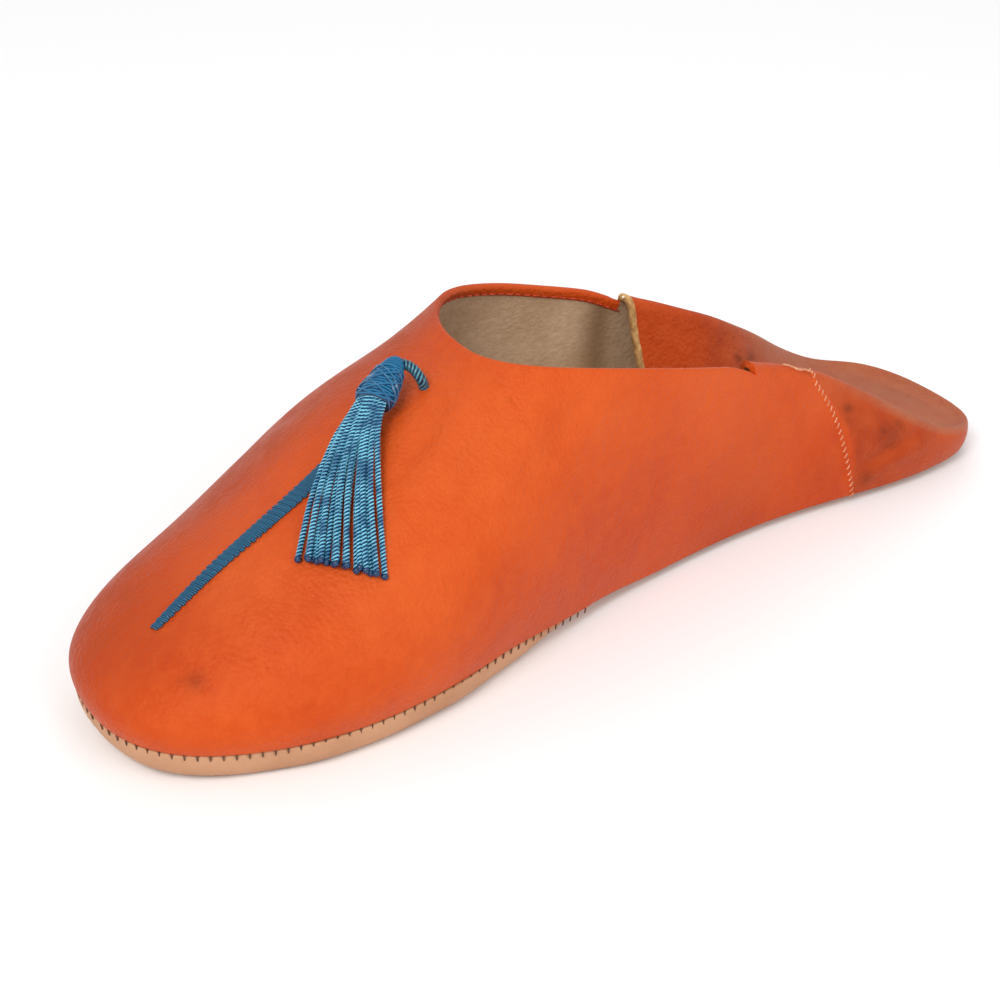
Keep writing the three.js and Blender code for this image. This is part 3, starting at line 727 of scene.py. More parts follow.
def upper_sheet():
    """Three zones on each side: the folded part behind the flap's edge, the quarter under the
    collar, and the vamp, where the wall reaches the middle line."""
    grids = []
    for side in (INNER, OUTER):
        seam = seam_turn(all_levels) + seam_gap(all_levels)
        turns = seam + (flap_turn - seam) * np.linspace(0, 1, 41)[:, None]
        quarter = flap_turn + (throat - flap_turn) * np.sin(np.pi / 2 * np.linspace(0, 1, 71))
        vamp = throat + (1 - throat) * np.linspace(0, 1, 121)
        grids.append(levelled(turns, all_levels, side))
        grids.append(levelled(quarter[:, None], wall_levels, side))
        grids.append(levelled(vamp[:, None], wall_levels, side))
    return join_grids(grids)


def counter_sheet():
    """From the seam round the heel to the seam on the other side."""
    grids = []
    for side in (INNER, OUTER):
        turns = (seam_turn(all_levels) - seam_gap(all_levels)) * np.linspace(0, 1, 91)[:, None]
        grids.append(levelled(turns, all_levels, side))
    return join_grids(grids)


upper_points, upper_faces, upper_kinds, upper_level = wall_of(
    *upper_sheet(), LEATHER, lambda p: np.where((p[:, 0] > 87) & (p[:, 2] > 14), 0.5, 0.0))
counter_points, counter_faces, counter_kinds, counter_level = wall_of(
    *counter_sheet(), LEATHER, lambda p: np.zeros(len(p)))
print("upper", len(upper_faces), "faces, counter", len(counter_faces), "faces")

# %% [markdown]
# ## Marks of wear, painted light and painted shade
# The photo shows where this shoe was handled: a ring-shaped stain and dark spots on the heel, and a
# spot on the toe. Paler places on the near crowns are partly rubbed and partly painted light, and
# the darker places on the far side and in the hollows are painted shade. A painted image could carry
# them, but a short list of places does it without one. Each mark is a round bell in the shoe's own
# sizes. Its value is stored at the mesh's points, where the finish reads it.

# %% Marks, painted light and painted shade on the leather
ring = [(40.5 + 3.2 * math.cos(a), 28.6, 18.5 + 3.2 * math.sin(a), 1.3, 0.45 + 0.3 * math.sin(3 * a))
        for a in np.linspace(0, 2 * math.pi, 12)[:-1]]
stain_spots = ring + [
    # x, y, z, radius and strength
    (40.5, 28.6, 18.5, 3.0, 0.55), (54, 25, 29, 1.3, 1.0), (54.5, 26, 26, 1.0, 0.5),
    (48, 28, 7, 2.4, 0.6), (244.5, 18, 24.5, 2.2, 0.5), (247, 16, 25, 1.4, 0.35),
    (54.3, -16, 27, 1.5, 1.0), (49, -16, 25.6, 2.2, 0.7), (60, -15, 24, 4.0, 0.35),
    (110, 29, 50, 1.8, 0.3),
]
# Paler places, partly rubbed leather and partly painted light: all lie on the near side and the top.
rubbed_and_lit_spots = [
    (170, 20, 58, 20, 0.4), (140, 30, 58, 14, 0.4), (225, 5, 38, 18, 0.4), (200, 30, 36, 18, 0.3),
    (100, 28, 52, 14, 0.35), (60, 20, 38, 10, 0.4),
]
# Painted shade: the far side of the vamp, the trough inside the heel and a few hollows.
painted_shade_spots = [
    (248, -20, 18, 24, 0.7), (232, -34, 20, 26, 0.7), (200, -44, 26, 26, 0.6), (170, -40, 40, 22, 0.5),
    (84, 28, 30, 7, 0.3), (90, 0, 10, 22, 0.8), (70, 0, 9, 20, 0.6), (64, 30, 12, 8, 0.35),
]


def leather_fields(points, level=0.0):
    """The values that the leather finishes read. Worn and topped follow the place on the shoe: the
    counter is browner, the flap turns brown towards the heel, and the fold's crown is greyed. The far
    side of the vamp gets painted shade, and the lining is darker in a band beside the flap's edge and
    towards the bottom."""
    x = points[:, 0]
    on_flap = smooth_step(level + 0 * x, 1.02, 1.25)
    behind_seam = 1 - smooth_step(x - LENGTH * (0.2 + 0.045 * level**4), -1, 1)
    worn = behind_seam * 0.75 * (1 - on_flap) + on_flap * (0.35 + 0.65 * (1 - smooth_step(x, 30, 85)))
    crown = smooth_step(level + 0 * x, 0.93, 1.08) * (1 - smooth_step(x, 34, 66))
    # Painted shade that darkens the far side of the vamp.
    far_side_shade = 0.6 * smooth_step(-points[:, 1], 8, 26) * smooth_step(x, 110, 160)
    painted_shade = np.maximum(marks(points, painted_shade_spots), far_side_shade)
    # The lining is darker in a band beside the flap's edge and towards the bottom.
    beside_flap = 0.8 * np.exp(-(((x - 90) / 4.5) ** 2))
    darker_band_and_bottom = beside_flap + 0.4 * (1 - smooth_step(points[:, 2], 8, 22))
    return {"worn": worn, "topped": 0.85 * crown, "stained": marks(points, stain_spots),
            "rubbed_and_lit": marks(points, rubbed_and_lit_spots), "painted_shade": painted_shade, "darker_band_and_bottom": darker_band_and_bottom}


leathers = [upper_leather, lining_leather]
add_piece("upper_shell", upper_points, upper_faces.tolist(), leathers, ["upper"],
          (upper_kinds == 1).astype(int), leather_fields(upper_points, upper_level))
add_piece("counter_shell", counter_points, counter_faces.tolist(), leathers,
          ["heel_counter"], (counter_kinds == 1).astype(int),
          leather_fields(counter_points, counter_level))

# %% [markdown]
# ## Hem, edge and seams
# The collar's leather is turned in and stitched, the flap ends in a pale cut edge, and the counter
# is whip stitched to the quarters. The hem, the edge and the seam's ridge are strips: a small
# section is carried along a line on the leather, upright on the surface. A curve with a bevel
# would roll about its path, so the frame of each place is taken from the leather instead. The
# stitches are short tubes along the line or across it.

# %% Strips along a line
def even_steps(line, normal, spacing):
    """The line and its normals at even distances: its length is summed up and read backwards."""
    length = np.concatenate(([0], np.cumsum(np.linalg.norm(np.diff(line, axis=0), axis=1))))
    at = np.linspace(0, length[-1], max(int(round(length[-1] / spacing)), 2) + 1)
    even, even_normal = (np.stack([np.interp(at, length, column) for column in values.T], -1)
                         for values in (line, normal))
    return even, unit(even_normal), at


def frame_of(line, normal):
    """Direction along the line, and the direction across it that lies in the leather."""
    along = unit(np.gradient(line, axis=0))
    return along, unit(np.cross(along, normal))


def strip(line, normal, profile, size=1.0):
    """A closed strip: the profile's (out, across) points at every place of the line."""
    _, across = frame_of(line, normal)
    size = np.broadcast_to(size, len(line))[:, None, None]
    shape = np.array(profile, float)
    points = (line[:, None] + size * shape[:, :1] * normal[:, None]
              + shape[:, 1:] * across[:, None])
    return points.reshape(-1, 3), ring_faces(1, len(line), len(profile))


def stitches(line, normal, spacing, reach, slant, lift, radius, sides=6):
    """Short round threads across a line: from -reach to +reach across it, `slant` along it, and
    lifted off the leather as half an oval."""
    line, normal, _ = even_steps(line, normal, spacing)
    along, across = frame_of(line, normal)
    t = np.linspace(-1, 1, 8)[:, None]
    paths = (line[:, None] + t * (reach * across + slant * along)[:, None]
             + lift * (np.sqrt(np.maximum(1 - t**2, 0)) - 0.25) * normal[:, None])
    thick = radius * np.sqrt(np.maximum(1.05 - np.linspace(-1, 1, 8) ** 4, 0.1))
    return tubes(paths, normal[:, None], thick, sides)


def on_leather(turn, level, side):
    """A line on the leather with its normals, raised with the creases."""
    point, normal = leather_point(turn, level, side), leather_normal(turn, level, side)
    return point + normal * relief(point)[:, None], normal


def both_sides(turns, levels):
    """A line over the inner side that comes back over the outer side."""
    inner, outer = on_leather(turns, levels, INNER), on_leather(turns, levels, OUTER)
    return [np.concatenate([a, b[-2::-1]]) for a, b in zip(inner, outer)]


print("the hem and the sole are sewn with a stitch every", STITCH_STEP, "mm")

# %% [markdown]
# Thread is too fine for its fibres to be modelled, so short noise stands for them. The counter is
# sewn with cream thread, the hem with red, the sole with brown, and the flap's knot is pale. The
# cut edge of the leather has a finish of its own, with darker streaks in its pale fibres.

# %% Thread and edge finishes
def thread_finish(name, colour, light, rough=0.6):
    """Thread: finer than the mesh shows, so short noise stands for its fibres."""
    new_material(name)
    fibres = noise(1500, 3, 0.6)
    return finish(name, colour_mix(fibres.between(0.35, 0.7), colour, light), rough,
                  noise(5000, 2), 0.00006)


cream_thread = thread_finish("cream_thread", srgb(194, 112, 72), srgb(230, 172, 134))
hem_thread = thread_finish("hem_thread", srgb(168, 40, 20), srgb(206, 84, 52))
sole_thread = thread_finish("sole_thread", srgb(70, 40, 22), srgb(120, 76, 44), 0.75)
pale_thread = thread_finish("pale_thread", srgb(226, 206, 172), srgb(246, 234, 212), 0.75)


def raw_edge_finish():
    """Cut edge of the leather: pale fibres with darker streaks."""
    new_material("raw_edge")
    streaks = noise(500, 4, 0.7)
    colour = colour_mix(streaks.between(0.3, 0.7), srgb(214, 170, 108), srgb(158, 112, 62))
    return finish("raw_edge", colour, 0.85, streaks, 0.0002)


raw_edge = raw_edge_finish()
print("threads", [m.name for m in (cream_thread, hem_thread, sole_thread, pale_thread)])

# %% [markdown]
# The collar's edge is turned inwards and sewn down, so it is twice as thick as the leather. It
# shows as a round roll with a row of short stitches below it. Solidify or a bevel on the wall
# would give the roll, but not the turned leather inside. So the hem is a strip of its own,
# carried along the collar, and each stitch is a small arched tube.

# %% Collar hem
collar_turns = flap_turn + (throat - flap_turn) * np.sin(np.pi / 2 * np.linspace(0, 1, 240))
collar, collar_out, _ = even_steps(*both_sides(collar_turns, np.full(240, 0.999)), 0.8)
hem_profile = [(-0.8, 0.38), (-1.3, 0.5), (-1.78, 0.24), (-2.02, -0.35), (-2.06, -1.9),
               (-1.95, -2.3), (-1.5, -2.4), (-1.2, -1.9), (-1.2, -0.3)]
points, faces = strip(collar, collar_out, hem_profile)
add_piece("collar_hem", points, faces, [upper_leather],
          fields=leather_fields(points))

_, above = frame_of(collar, collar_out)
stitch_line = collar - 2.06 * collar_out - 1.75 * above
middle, inwards, _ = even_steps(stitch_line, -collar_out, STITCH_STEP)
flow = unit(np.gradient(middle, axis=0))
t = np.linspace(-1, 1, 7)[:, None]
paths = middle[:, None] + 0.95 * t * flow[:, None] + (0.2 * (1 - t**2) - 0.08) * inwards[:, None]
points, faces = tubes(paths, inwards[:, None], 0.21, 6)
add_piece("hem_stitches", points, faces, [hem_thread])

# %% [markdown]
# The flap ends in a cut edge, where the pale fibres of the leather show. A colour on the rim alone
# could mark it, but the eye follows this line over the dark inside. So it is a flat strip that
# wraps the rim, wavers a little as a hand cuts it, and has a bead of pale thread at its far end.

# %% Flap edge
far_edge = on_leather(np.full(130, flap_turn), np.linspace(1.05, 2, 130), OUTER)
near_edge = on_leather(np.full(70, flap_turn), np.linspace(1.5, 2, 70), INNER)
edge, edge_out = (np.concatenate([far, near[-2::-1]]) for far, near in zip(far_edge, near_edge))
edge, edge_out, at = even_steps(edge, edge_out, 0.6)
along, across = frame_of(edge, edge_out)
edge = edge + across * (0.12 * np.sin(0.9 * at) * np.sin(0.37 * at + 1))[:, None]
edge_profile = [(0.05, -1.2), (0.16, -0.7), (0.12, -0.05), (-0.1, 0.22), (-0.85, 0.32), (-1.6, 0.22),
                (-1.86, -0.1), (-1.78, -0.9), (-1.3, -1.0), (-0.4, -1.1)]
points, faces = strip(edge, edge_out, edge_profile)
add_piece("flap_edge_strip", points, faces, [raw_edge])
KNOT = 6  # the step of the edge, counted from the far side, where the bead sits
bead = (edge[KNOT] + 0.7 * across[KNOT] - 0.6 * edge_out[KNOT]
        + np.linspace(-0.9, 0.9, 8)[:, None] * unit(across[KNOT] + 0.5 * along[KNOT]))
fat = 0.42 * np.sqrt(1 - np.linspace(-0.95, 0.95, 8) ** 2)
points, faces = tubes(bead[None], edge_out[KNOT][None, None], fat, 8)
add_piece("flap_edge_knot", points, faces, [pale_thread])

# %% [markdown]
# The counter meets the quarters edge to edge, and a slanting thread goes over the joint every
# 1.9 mm. A bump could draw the seam, but at the fold its stitches are seen in outline, so each is
# a tube. Under them the leather rises in a low ridge. On the near side a loose tail of thread runs
# on along the fold.

# %% Counter seam
seam_ridge = [(-0.3, -1.0), (0.0, -0.72), (0.2, -0.3), (0.25, 0.0), (0.2, 0.3), (0.0, 0.72),
              (-0.3, 1.0)]
ridge_parts, stitch_parts = [], []
for side, top in ((INNER, 1.16), (OUTER, 1.04)):
    levels = np.linspace(0.01, top, 200)
    line, out = on_leather(seam_turn(levels), levels, side)
    seam_line, seam_out, _ = even_steps(line, out, 0.7)
    if side == OUTER:
        seam_line, seam_out = seam_line[::-1], seam_out[::-1]
    ridge_parts.append(strip(seam_line, seam_out, seam_ridge[::-1]))
    stitch_parts.append(stitches(line, out, 1.9, 0.68, 0.5, 0.34, 0.2))
tail_turns, tail_levels = turn_at(np.linspace(0.247, 0.283, 24)), np.linspace(1.1, 1.15, 24)
tail, tail_out = on_leather(tail_turns, tail_levels, INNER)
wiggle = 0.35 * np.sin(np.linspace(0, 9, 24))[:, None] * frame_of(tail, tail_out)[1]
stitch_parts.append(tubes((tail + 0.2 * tail_out + wiggle)[None], tail_out[None], 0.32, 8))
points, faces = stack_meshes(ridge_parts)
add_piece("counter_seam", points, faces, [upper_leather],
          fields=leather_fields(points))
points, faces = stack_meshes(stitch_parts)
add_piece("counter_stitches", points, faces, [cream_thread])

# %% [markdown]
# ## Sole and insole
# The sole is one plate of pale leather with its edge moulded up to the seam, and the sock lies
# inside that edge. Both plates follow the outline: a section runs round the shoe, given as how far
# each step lies inside the edge and how high. Boolean cuts could make the stitch notches, but here
# the section itself gives way at each stitch, so the surface stays one clean grid.

# %% Plates
TRAY, SOCK, LIP_REACH, SOCK_INSET = 3.4, 1.6, 5.0, 4.3
plate_turns = np.linspace(0, 1, 701)


def notch_depth(side):
    """Depth of the stitch notches along the outline: bell curves at even steps of its length, but
    none behind the waist, where the leather hides the seam. The length comes with it."""
    x, y, _ = outline_at(plate_turns, side)
    length = np.concatenate(([0], np.cumsum(np.hypot(np.diff(x), np.diff(y)))))
    from_stitch = (length + STITCH_STEP / 2) % STITCH_STEP - STITCH_STEP / 2
    seen = smooth_step(x / LENGTH, 0.53, 0.56)
    uneven = 0.72 + 0.28 * np.sin(length / 3.7) * np.sin(length / 1.9)
    return 0.42 * seen * uneven * np.exp(-((from_stitch / 0.34) ** 2)), length


def above_sole(lift):
    """A height that stays so far above the sole's underside."""
    return lambda x, y: sole_rise(x, y) + lift


def below_lip(drop):
    """A height that stays so far below the top of the lip."""
    return lambda x, y: lip_top(x) - drop


def up_to_lip(share):
    """A height that is a share of the way from the sole's underside to the top of the lip."""
    return lambda x, y: sole_rise(x, y) * (1 - share) + lip_top(x) * share


def plate_grid(profile, side):
    """The section's steps at every station: inset from the outline, share of the way to the middle
    line, a height, and how much of the notches it takes. Two waves make the lip uneven."""
    x, y, out = outline_at(plate_turns, side)
    middle, (notch, length) = middle_x(x), notch_depth(side)
    wave = 0.45 * np.sin(length / 8.3 + side) * np.sin(length / 19 + 0.6) + 0.12 * np.sin(length / 3.1)
    wave = wave * smooth_step(x / LENGTH, 0.5, 0.6)
    rows = []
    for inset, share, height, bite in profile:
        inside = inset + tuck_in(x) + bite * notch + wave * max(1 - inset / LIP_REACH, 0)
        px, py = x - out[:, 0] * inside, y - out[:, 1] * inside
        px, py = px + (middle - px) * share, py * (1 - share) * side
        rows.append(np.stack([px, py, height(px, py) - bite * notch], -1))
    return np.stack(rows, axis=1)


def lip_profile():
    """Underside, a quarter oval up to the lip, its rounded edge, and down to the sole's top."""
    steps = [(LIP_REACH, share, above_sole(0), 0) for share in (1, 0.75, 0.5, 0.25)]
    for angle in np.radians([0, 12, 24, 36, 48, 58, 68, 76, 83]):
        lift = 1 - math.cos(angle)
        steps.append((LIP_REACH * (1 - math.sin(angle)), 0, up_to_lip(lift), max(lift - 0.7, 0) * 2.2))
    steps += [(0.02, 0, below_lip(0.35), 0.9), (0.14, 0, below_lip(0.1), 1),
              (0.4, 0, below_lip(0), 0.8), (1.2, 0, below_lip(0), 0.1), (2.2, 0, below_lip(0), 0)]
    return steps + [(4.0, share, above_sole(TRAY), 0) for share in (0, 0.25, 0.5, 0.75, 1)]


def sock_profile():
    """A thin plate on the tray's floor with a rounded upper edge."""
    low, high = TRAY + CLEARANCE, TRAY + CLEARANCE + SOCK
    steps = [(SOCK_INSET, share, above_sole(low), 0) for share in (1, 0.5, 0)]
    steps += [(SOCK_INSET, 0, above_sole(high - 0.4), 0), (SOCK_INSET + 0.2, 0, above_sole(high - 0.1), 0)]
    return steps + [(4.9, share, above_sole(high), 0) for share in (0, 0.25, 0.5, 0.75, 1)]


def plate(profile):
    """Both halves of a plate as one sheet."""
    return join_grids([(plate_grid(profile, side), side) for side in (INNER, OUTER)])


def sole_finish():
    """Natural leather: pale and warm, a little darker in clouds, with fine pores and scuffs."""
    new_material("natural_sole")
    cloud, pores = noise(35, 5, 0.6), noise(900, 3)
    scuffs = noise(60, 4, 0.7, stretch=(1, 6, 6)).between(0.6, 0.72)
    colour = colour_mix(cloud.between(0.35, 0.7), srgb(196, 146, 110), srgb(180, 128, 92))
    colour = colour_mix(scuffs * 0.3, colour, srgb(170, 118, 80))
    return finish("natural_sole", colour, 0.68 + pores * 0.1, pores + noise(250, 3), 0.00012)


def sock_finish():
    """The insole: tan suede side, rubbed darker in clouds."""
    new_material("tan_sock")
    cloud, nap = noise(40, 5, 0.65), noise(1200, 4, 0.7)
    colour = colour_mix(cloud.between(0.3, 0.7), srgb(168, 136, 98), srgb(134, 100, 66))
    colour = colour_mix(nap.between(0.4, 0.8) * 0.35, colour, srgb(196, 168, 130))
    return finish("tan_sock", colour, 0.85, nap, 0.00015)


natural_sole, tan_sock = sole_finish(), sock_finish()
points, faces = plate(lip_profile())
add_piece("sole_plate", points, faces.tolist(), [natural_sole], ["outsole"])

points, faces = plate(sock_profile())
add_piece("sock_plate", points, faces.tolist(), [tan_sock], ["insole"])

# %% [markdown]
# The sole's thread comes up through the lip and dives under the leather, so only a short dark
# piece of each stitch shows in its notch. A dark line could stand for the row, but small tubes give
# the toothed edge that a hand-sewn sole has.

# %% Sole stitches
SEWN_FROM = 0.545  # share of the length where the first stitch shows
sole_parts = []
for side in (INNER, OUTER):
    length = notch_depth(side)[1]
    at = np.arange(STITCH_STEP, length[-1] - 1, STITCH_STEP)
    turns = np.interp(at, length, plate_turns)
    turns = turns[share_at(turns) > SEWN_FROM]
    x, y, out = outline_at(turns, side)
    foot = np.stack([x, y * side, foot_height(x) - CLEARANCE], -1)
    out = np.stack([out[:, 0], out[:, 1] * side, 0 * x], -1)
    rise = np.array([-1.3, -0.9, -0.4, 0.0, 0.3, 0.45])
    away = np.array([-0.25, -0.12, -0.1, -0.05, 0.05, 0.02])
    paths = foot[:, None] + rise[:, None] * (0, 0, 1) + away[:, None] * out[:, None]
    sole_parts.append(tubes(paths, out[:, None], 0.2 * np.array([0.5, 0.9, 1, 1, 0.9, 0.6]), 6))
points, faces = stack_meshes(sole_parts)
add_piece("sole_stitches", points, faces, [sole_thread])

# %% [markdown]
# ## Embroidery
# The line on the vamp is satin stitch: threads laid side by side across it, in groups of four
# whose ends step in and out like a cord. A bump could stand for them, but their ends make the
# saw-tooth edge that the eye sees first, so every thread is a small tube that arches over the
# leather. Silk gets painted shade in its grooves and a painted highlight on its crowns, and the
# mesh stores where each is.

# %% Silk finishes
def silk_finish(name, colour, light, groove_shade, rough, highlight_share):
    """Silky thread with painted light: `crown` is 1 where a ply bulges outwards, and there a painted
    highlight makes it pale, and it is low in the grooves, which get painted shade."""
    new_material(name)
    fibres, cloud = noise(2200, 3, 0.6), noise(300, 3)
    crown = field("crown")
    # Painted shade in the grooves, then a painted highlight on the crowns, over the silk's colour.
    painted_groove_shade = colour_mix(crown.between(0.0, 0.85), groove_shade, colour)
    painted_highlight = crown.between(0.84, 1.0) * cloud.between(0.3, 0.6, 0.2, 1.0) * highlight_share
    return finish(name, colour_mix(painted_highlight, painted_groove_shade, light), rough, fibres, 0.00003,
                  {"Specular IOR Level": 0.55})


def crown_of(points, paths, offset, radius):
    """How far each ring point stands out from the cord's middle: 1 outside, 0 at the ply's own
    middle, and less in the grooves."""
    rings = points.reshape(*paths.shape[:2], -1, 3)
    return ((np.linalg.norm(rings - paths[:, :, None], axis=-1) - offset) / radius).ravel()


def ring_crown(rings, sides=6):
    """The crown of single threads: the sine of each ring point's angle, 1 on top and -1 below, so
    the silk gets a painted highlight on top and painted shade underneath.
    """
    return np.tile(np.sin(2 * np.pi * np.arange(sides) / sides), rings)


# Each silk gives its colour, the colour of its painted highlight, the colour of its painted shade, its
# roughness and the strength of its painted highlight.
stripe_silk = silk_finish("stripe_silk", srgb(4, 76, 110), srgb(84, 176, 196), srgb(0, 16, 34), 0.5, 0.6)
strand_silk = silk_finish("strand_silk", srgb(0, 66, 112), srgb(140, 226, 244), srgb(0, 14, 40), 0.28, 0.95)
knot_silk = silk_finish("knot_silk", srgb(0, 92, 138), srgb(120, 216, 236), srgb(0, 26, 58), 0.28, 0.95)
neck_silk = silk_finish("neck_silk", srgb(2, 40, 66), srgb(110, 190, 204), srgb(0, 10, 26), 0.28, 0.5)
print("silks", [m.name for m in (stripe_silk, strand_silk, knot_silk, neck_silk)])

# %% Embroidered stripe
THREADS, IN_GROUP = 156, 4
STRIPE_START, STRIPE_END = throat_x + 27, 0.938 * LENGTH
NARROW, WIDE = 1.8, 5.4


def stripe_threads():
    """Paths of the threads and the direction out of the leather. The stripe widens from the toe
    with a square root, and within a group a sine lets the threads' ends step out and in again.
    Each thread arches as half an oval and hooks a little towards the middle of its group."""
    number = np.arange(THREADS)
    t = (number + 0.5) / THREADS
    group = (number % IN_GROUP + 0.5) / IN_GROUP
    stepped = np.sin(np.pi * group)
    wide = ((NARROW + (WIDE - NARROW) * np.sqrt(1 - t)) * (0.78 + 0.26 * stepped))[:, None]
    across = np.linspace(-0.5, 0.5, 13)
    hook = 0.3 * np.abs(2 * across) ** 3 * (group - 0.5)[:, None]
    x = (STRIPE_START + (STRIPE_END - STRIPE_START) * t)[:, None] - 0.24 * wide * across + hook
    y = wide * across + 0.12 * np.sin(1.7 * number)[:, None]
    ground, out = leather_under(x, y)
    arch = np.sqrt(np.maximum(1 - (2.02 * across) ** 2, 0))
    height = 0.22 + 0.55 * arch * (0.75 + 0.35 * stepped)[:, None]
    height = height + relief(ground.reshape(-1, 3)).reshape(height.shape)
    return ground + out * height[..., None], out


# The stripe's threads get a painted highlight on top and painted shade towards the leather.
paths, out = stripe_threads()
points, faces = tubes(paths, out, 0.27, 6, 0.9)
add_piece("satin_stripe", points, faces, [stripe_silk], ["embroidered_stripe"],
          fields={"crown": ring_crown(paths.shape[0] * paths.shape[1])})

# %% [markdown]
# ## Tassel
# A tassel is a bundle of twisted cords, tied at the top with a wound knot and hung from a short
# neck. Each cord is two plies that wind round each other, so a ply is a helix round the cord's
# path. The paths come first: they leave the knot together, spread, and lie down on the leather.

# %% Paths of the tassel
def over_leather(ahead, y, lift):
    """A place so far ahead of the throat, at a height over the leather, and the direction out."""
    point, normal = leather_under(np.atleast_1d(throat_x + ahead), np.atleast_1d(float(y)))
    return (point + normal * lift)[0], normal[0]


head_top, _ = over_leather(14.1, -5.5, 6)
head_bottom, head_up = over_leather(25.1, 0.8, 6)
head_axis = unit(head_bottom - head_top)
head_side = unit(np.cross(head_up, head_axis))
HEAD_RADIUS = 4.3  # at the widest winding


def smooth_path(corners, count):
    """A Catmull-Rom path: between two corners it is the cubic whose slope at each corner is half
    the way from the corner before to the corner after."""
    corners = np.array(corners, float)
    padded = np.vstack([2 * corners[0] - corners[1], corners, 2 * corners[-1] - corners[-2]])
    at = np.linspace(0, len(corners) - 1, count)
    i = np.minimum(at.astype(int), len(corners) - 2)
    f = (at - i)[:, None]
    p0, p1, p2, p3 = (padded[i + k] for k in range(4))
    return 0.5 * (2 * p1 + (p2 - p0) * f + (2 * p0 - 5 * p1 + 4 * p2 - p3) * f**2
                  + (3 * p1 - p0 - 3 * p2 + p3) * f**3)


def plies(path, up, offset, radius, pitch, count=2, phase=0.0, sides=6):
    """Plies of a cord: each is a circle of `offset` round the path that turns once every
    `pitch` millimetres, and a tube of `radius` follows it."""
    length = np.concatenate(([0], np.cumsum(np.linalg.norm(np.diff(path, axis=0), axis=1))))
    along = unit(np.gradient(path, axis=0))
    above = unit(up - along * np.sum(up * along, axis=-1, keepdims=True))
    across = np.cross(above, along)
    angle = 2 * np.pi * (length / pitch + np.arange(count)[:, None] / count) + phase
    lines = path + offset * (np.cos(angle)[..., None] * across + np.sin(angle)[..., None] * above)
    points, faces = tubes(lines, np.broadcast_to(above, lines.shape), radius, sides)
    return points, faces, crown_of(points, np.broadcast_to(path, lines.shape), offset, radius)


def add_threads(name, parts, material, replaces):
    """One piece from several tubes, each with its crown values."""
    points, faces = stack_meshes([part[:2] for part in parts])
    add_piece(name, points, faces, [material], replaces,
              fields={"crown": np.concatenate([part[2] for part in parts])})


print("knot from", head_top.round(1), "to", head_bottom.round(1))

# %% [markdown]
# The neck comes out of the leather ahead of the throat, bends over in a small arch and runs into
# the top of the knot. A simulation would let it fall flat, but a stiff twisted cord holds its
# arch. So its path is a smooth curve through five places. The two in the air are given in the
# shoe's own millimetres, where the photo shows the arch.

# %% Neck cord
foot, foot_up = over_leather(12.6, 0, 0.1)
neck = smooth_path([foot - 0.6 * foot_up, foot + 2.3 * foot_up, (171.9, -2.2, 67.6),
                    (172.9, -4.6, 68.1), head_top + head_axis * 1.6], 170)
add_threads("neck_cord", [plies(neck, head_side, 0.76, 0.52, 3.6, 4, sides=8)], neck_silk,
            ["tassel_cord"])

# %% [markdown]
# The knot is thread wound tightly round the top of the bundle, with a few looser turns that cross
# over it. A texture would look painted on, so the windings are real tubes on an oval body: one
# thread with 17 turns, and five that swing up and down as they go round. The profile gives the
# knot's width from its top to its bottom.

# %% Wound knot
TURNS, CROSSING = 17, 5
head_profile = np.array([
    # share of the way down, width as a share of the widest
    [-0.06, 0.14], [-0.03, 0.34], [0.04, 0.5], [0.16, 0.64], [0.4, 0.79], [0.65, 0.94],
    [0.82, 1.0], [0.94, 0.93], [1.0, 0.78], [1.04, 0.3]])


def on_head(share, angle, lift):
    """A place on the knot: an oval round its axis, whose size is read from the profile."""
    wide = np.interp(share, *head_profile.T)
    centre = head_top + (head_bottom - head_top) * share[..., None]
    radius = HEAD_RADIUS * wide + lift
    return centre + radius[..., None] * (np.cos(angle)[..., None] * head_side
                                         + 0.8 * np.sin(angle)[..., None] * head_up)


def wound(share, angle, lift, radius):
    """One thread wound on the knot, as a tube that stands on its surface."""
    path = on_head(share, angle, lift)
    inner = on_head(share, angle, lift * 0 - 1.0)
    points, faces = tubes(path[None], unit(path - inner)[None], radius, 6)
    return points, faces, ring_crown(len(path))


t = np.linspace(0, 1, 900)
wraps = [wound(-0.04 + 1.06 * t, 2 * np.pi * TURNS * t, -0.1 + 0 * t, 0.44)]
for k in range(CROSSING):
    swing = 0.62 - 0.36 * np.cos(2 * np.pi * (2 * t + k / CROSSING))
    lift = 0.3 + 0.14 * np.sin(2 * np.pi * (5 * t + 0.37 * k))
    turned = 2 * np.pi * (3 * t + k / CROSSING) * (1 if k % 2 else -1)
    wraps.append(wound(swing, turned, lift, 0.34))
body_share = np.linspace(-0.06, 1.04, 30)
body = head_top + (head_bottom - head_top) * body_share[:, None]
wide = HEAD_RADIUS * np.interp(body_share, *head_profile.T) - 0.3
points, faces = tubes(body[None], head_up[None, None], wide, 32, 0.8)
# The body under the windings gets crown 0, so it is painted dark: painted shade between the threads.
wraps.append((points, faces, np.zeros(len(points))))
add_threads("wound_knot", wraps, knot_silk, ["tassel_head"])

# %% [markdown]
# Nineteen cords leave the knot side by side, spread over the vamp and end in small knots. Hair
# simulation would give a random fall. Here each path is aimed at its own end on the leather, bows
# out on the way and comes to rest on it, every second one on top of its neighbours.

# %% Strands
STRANDS = 19


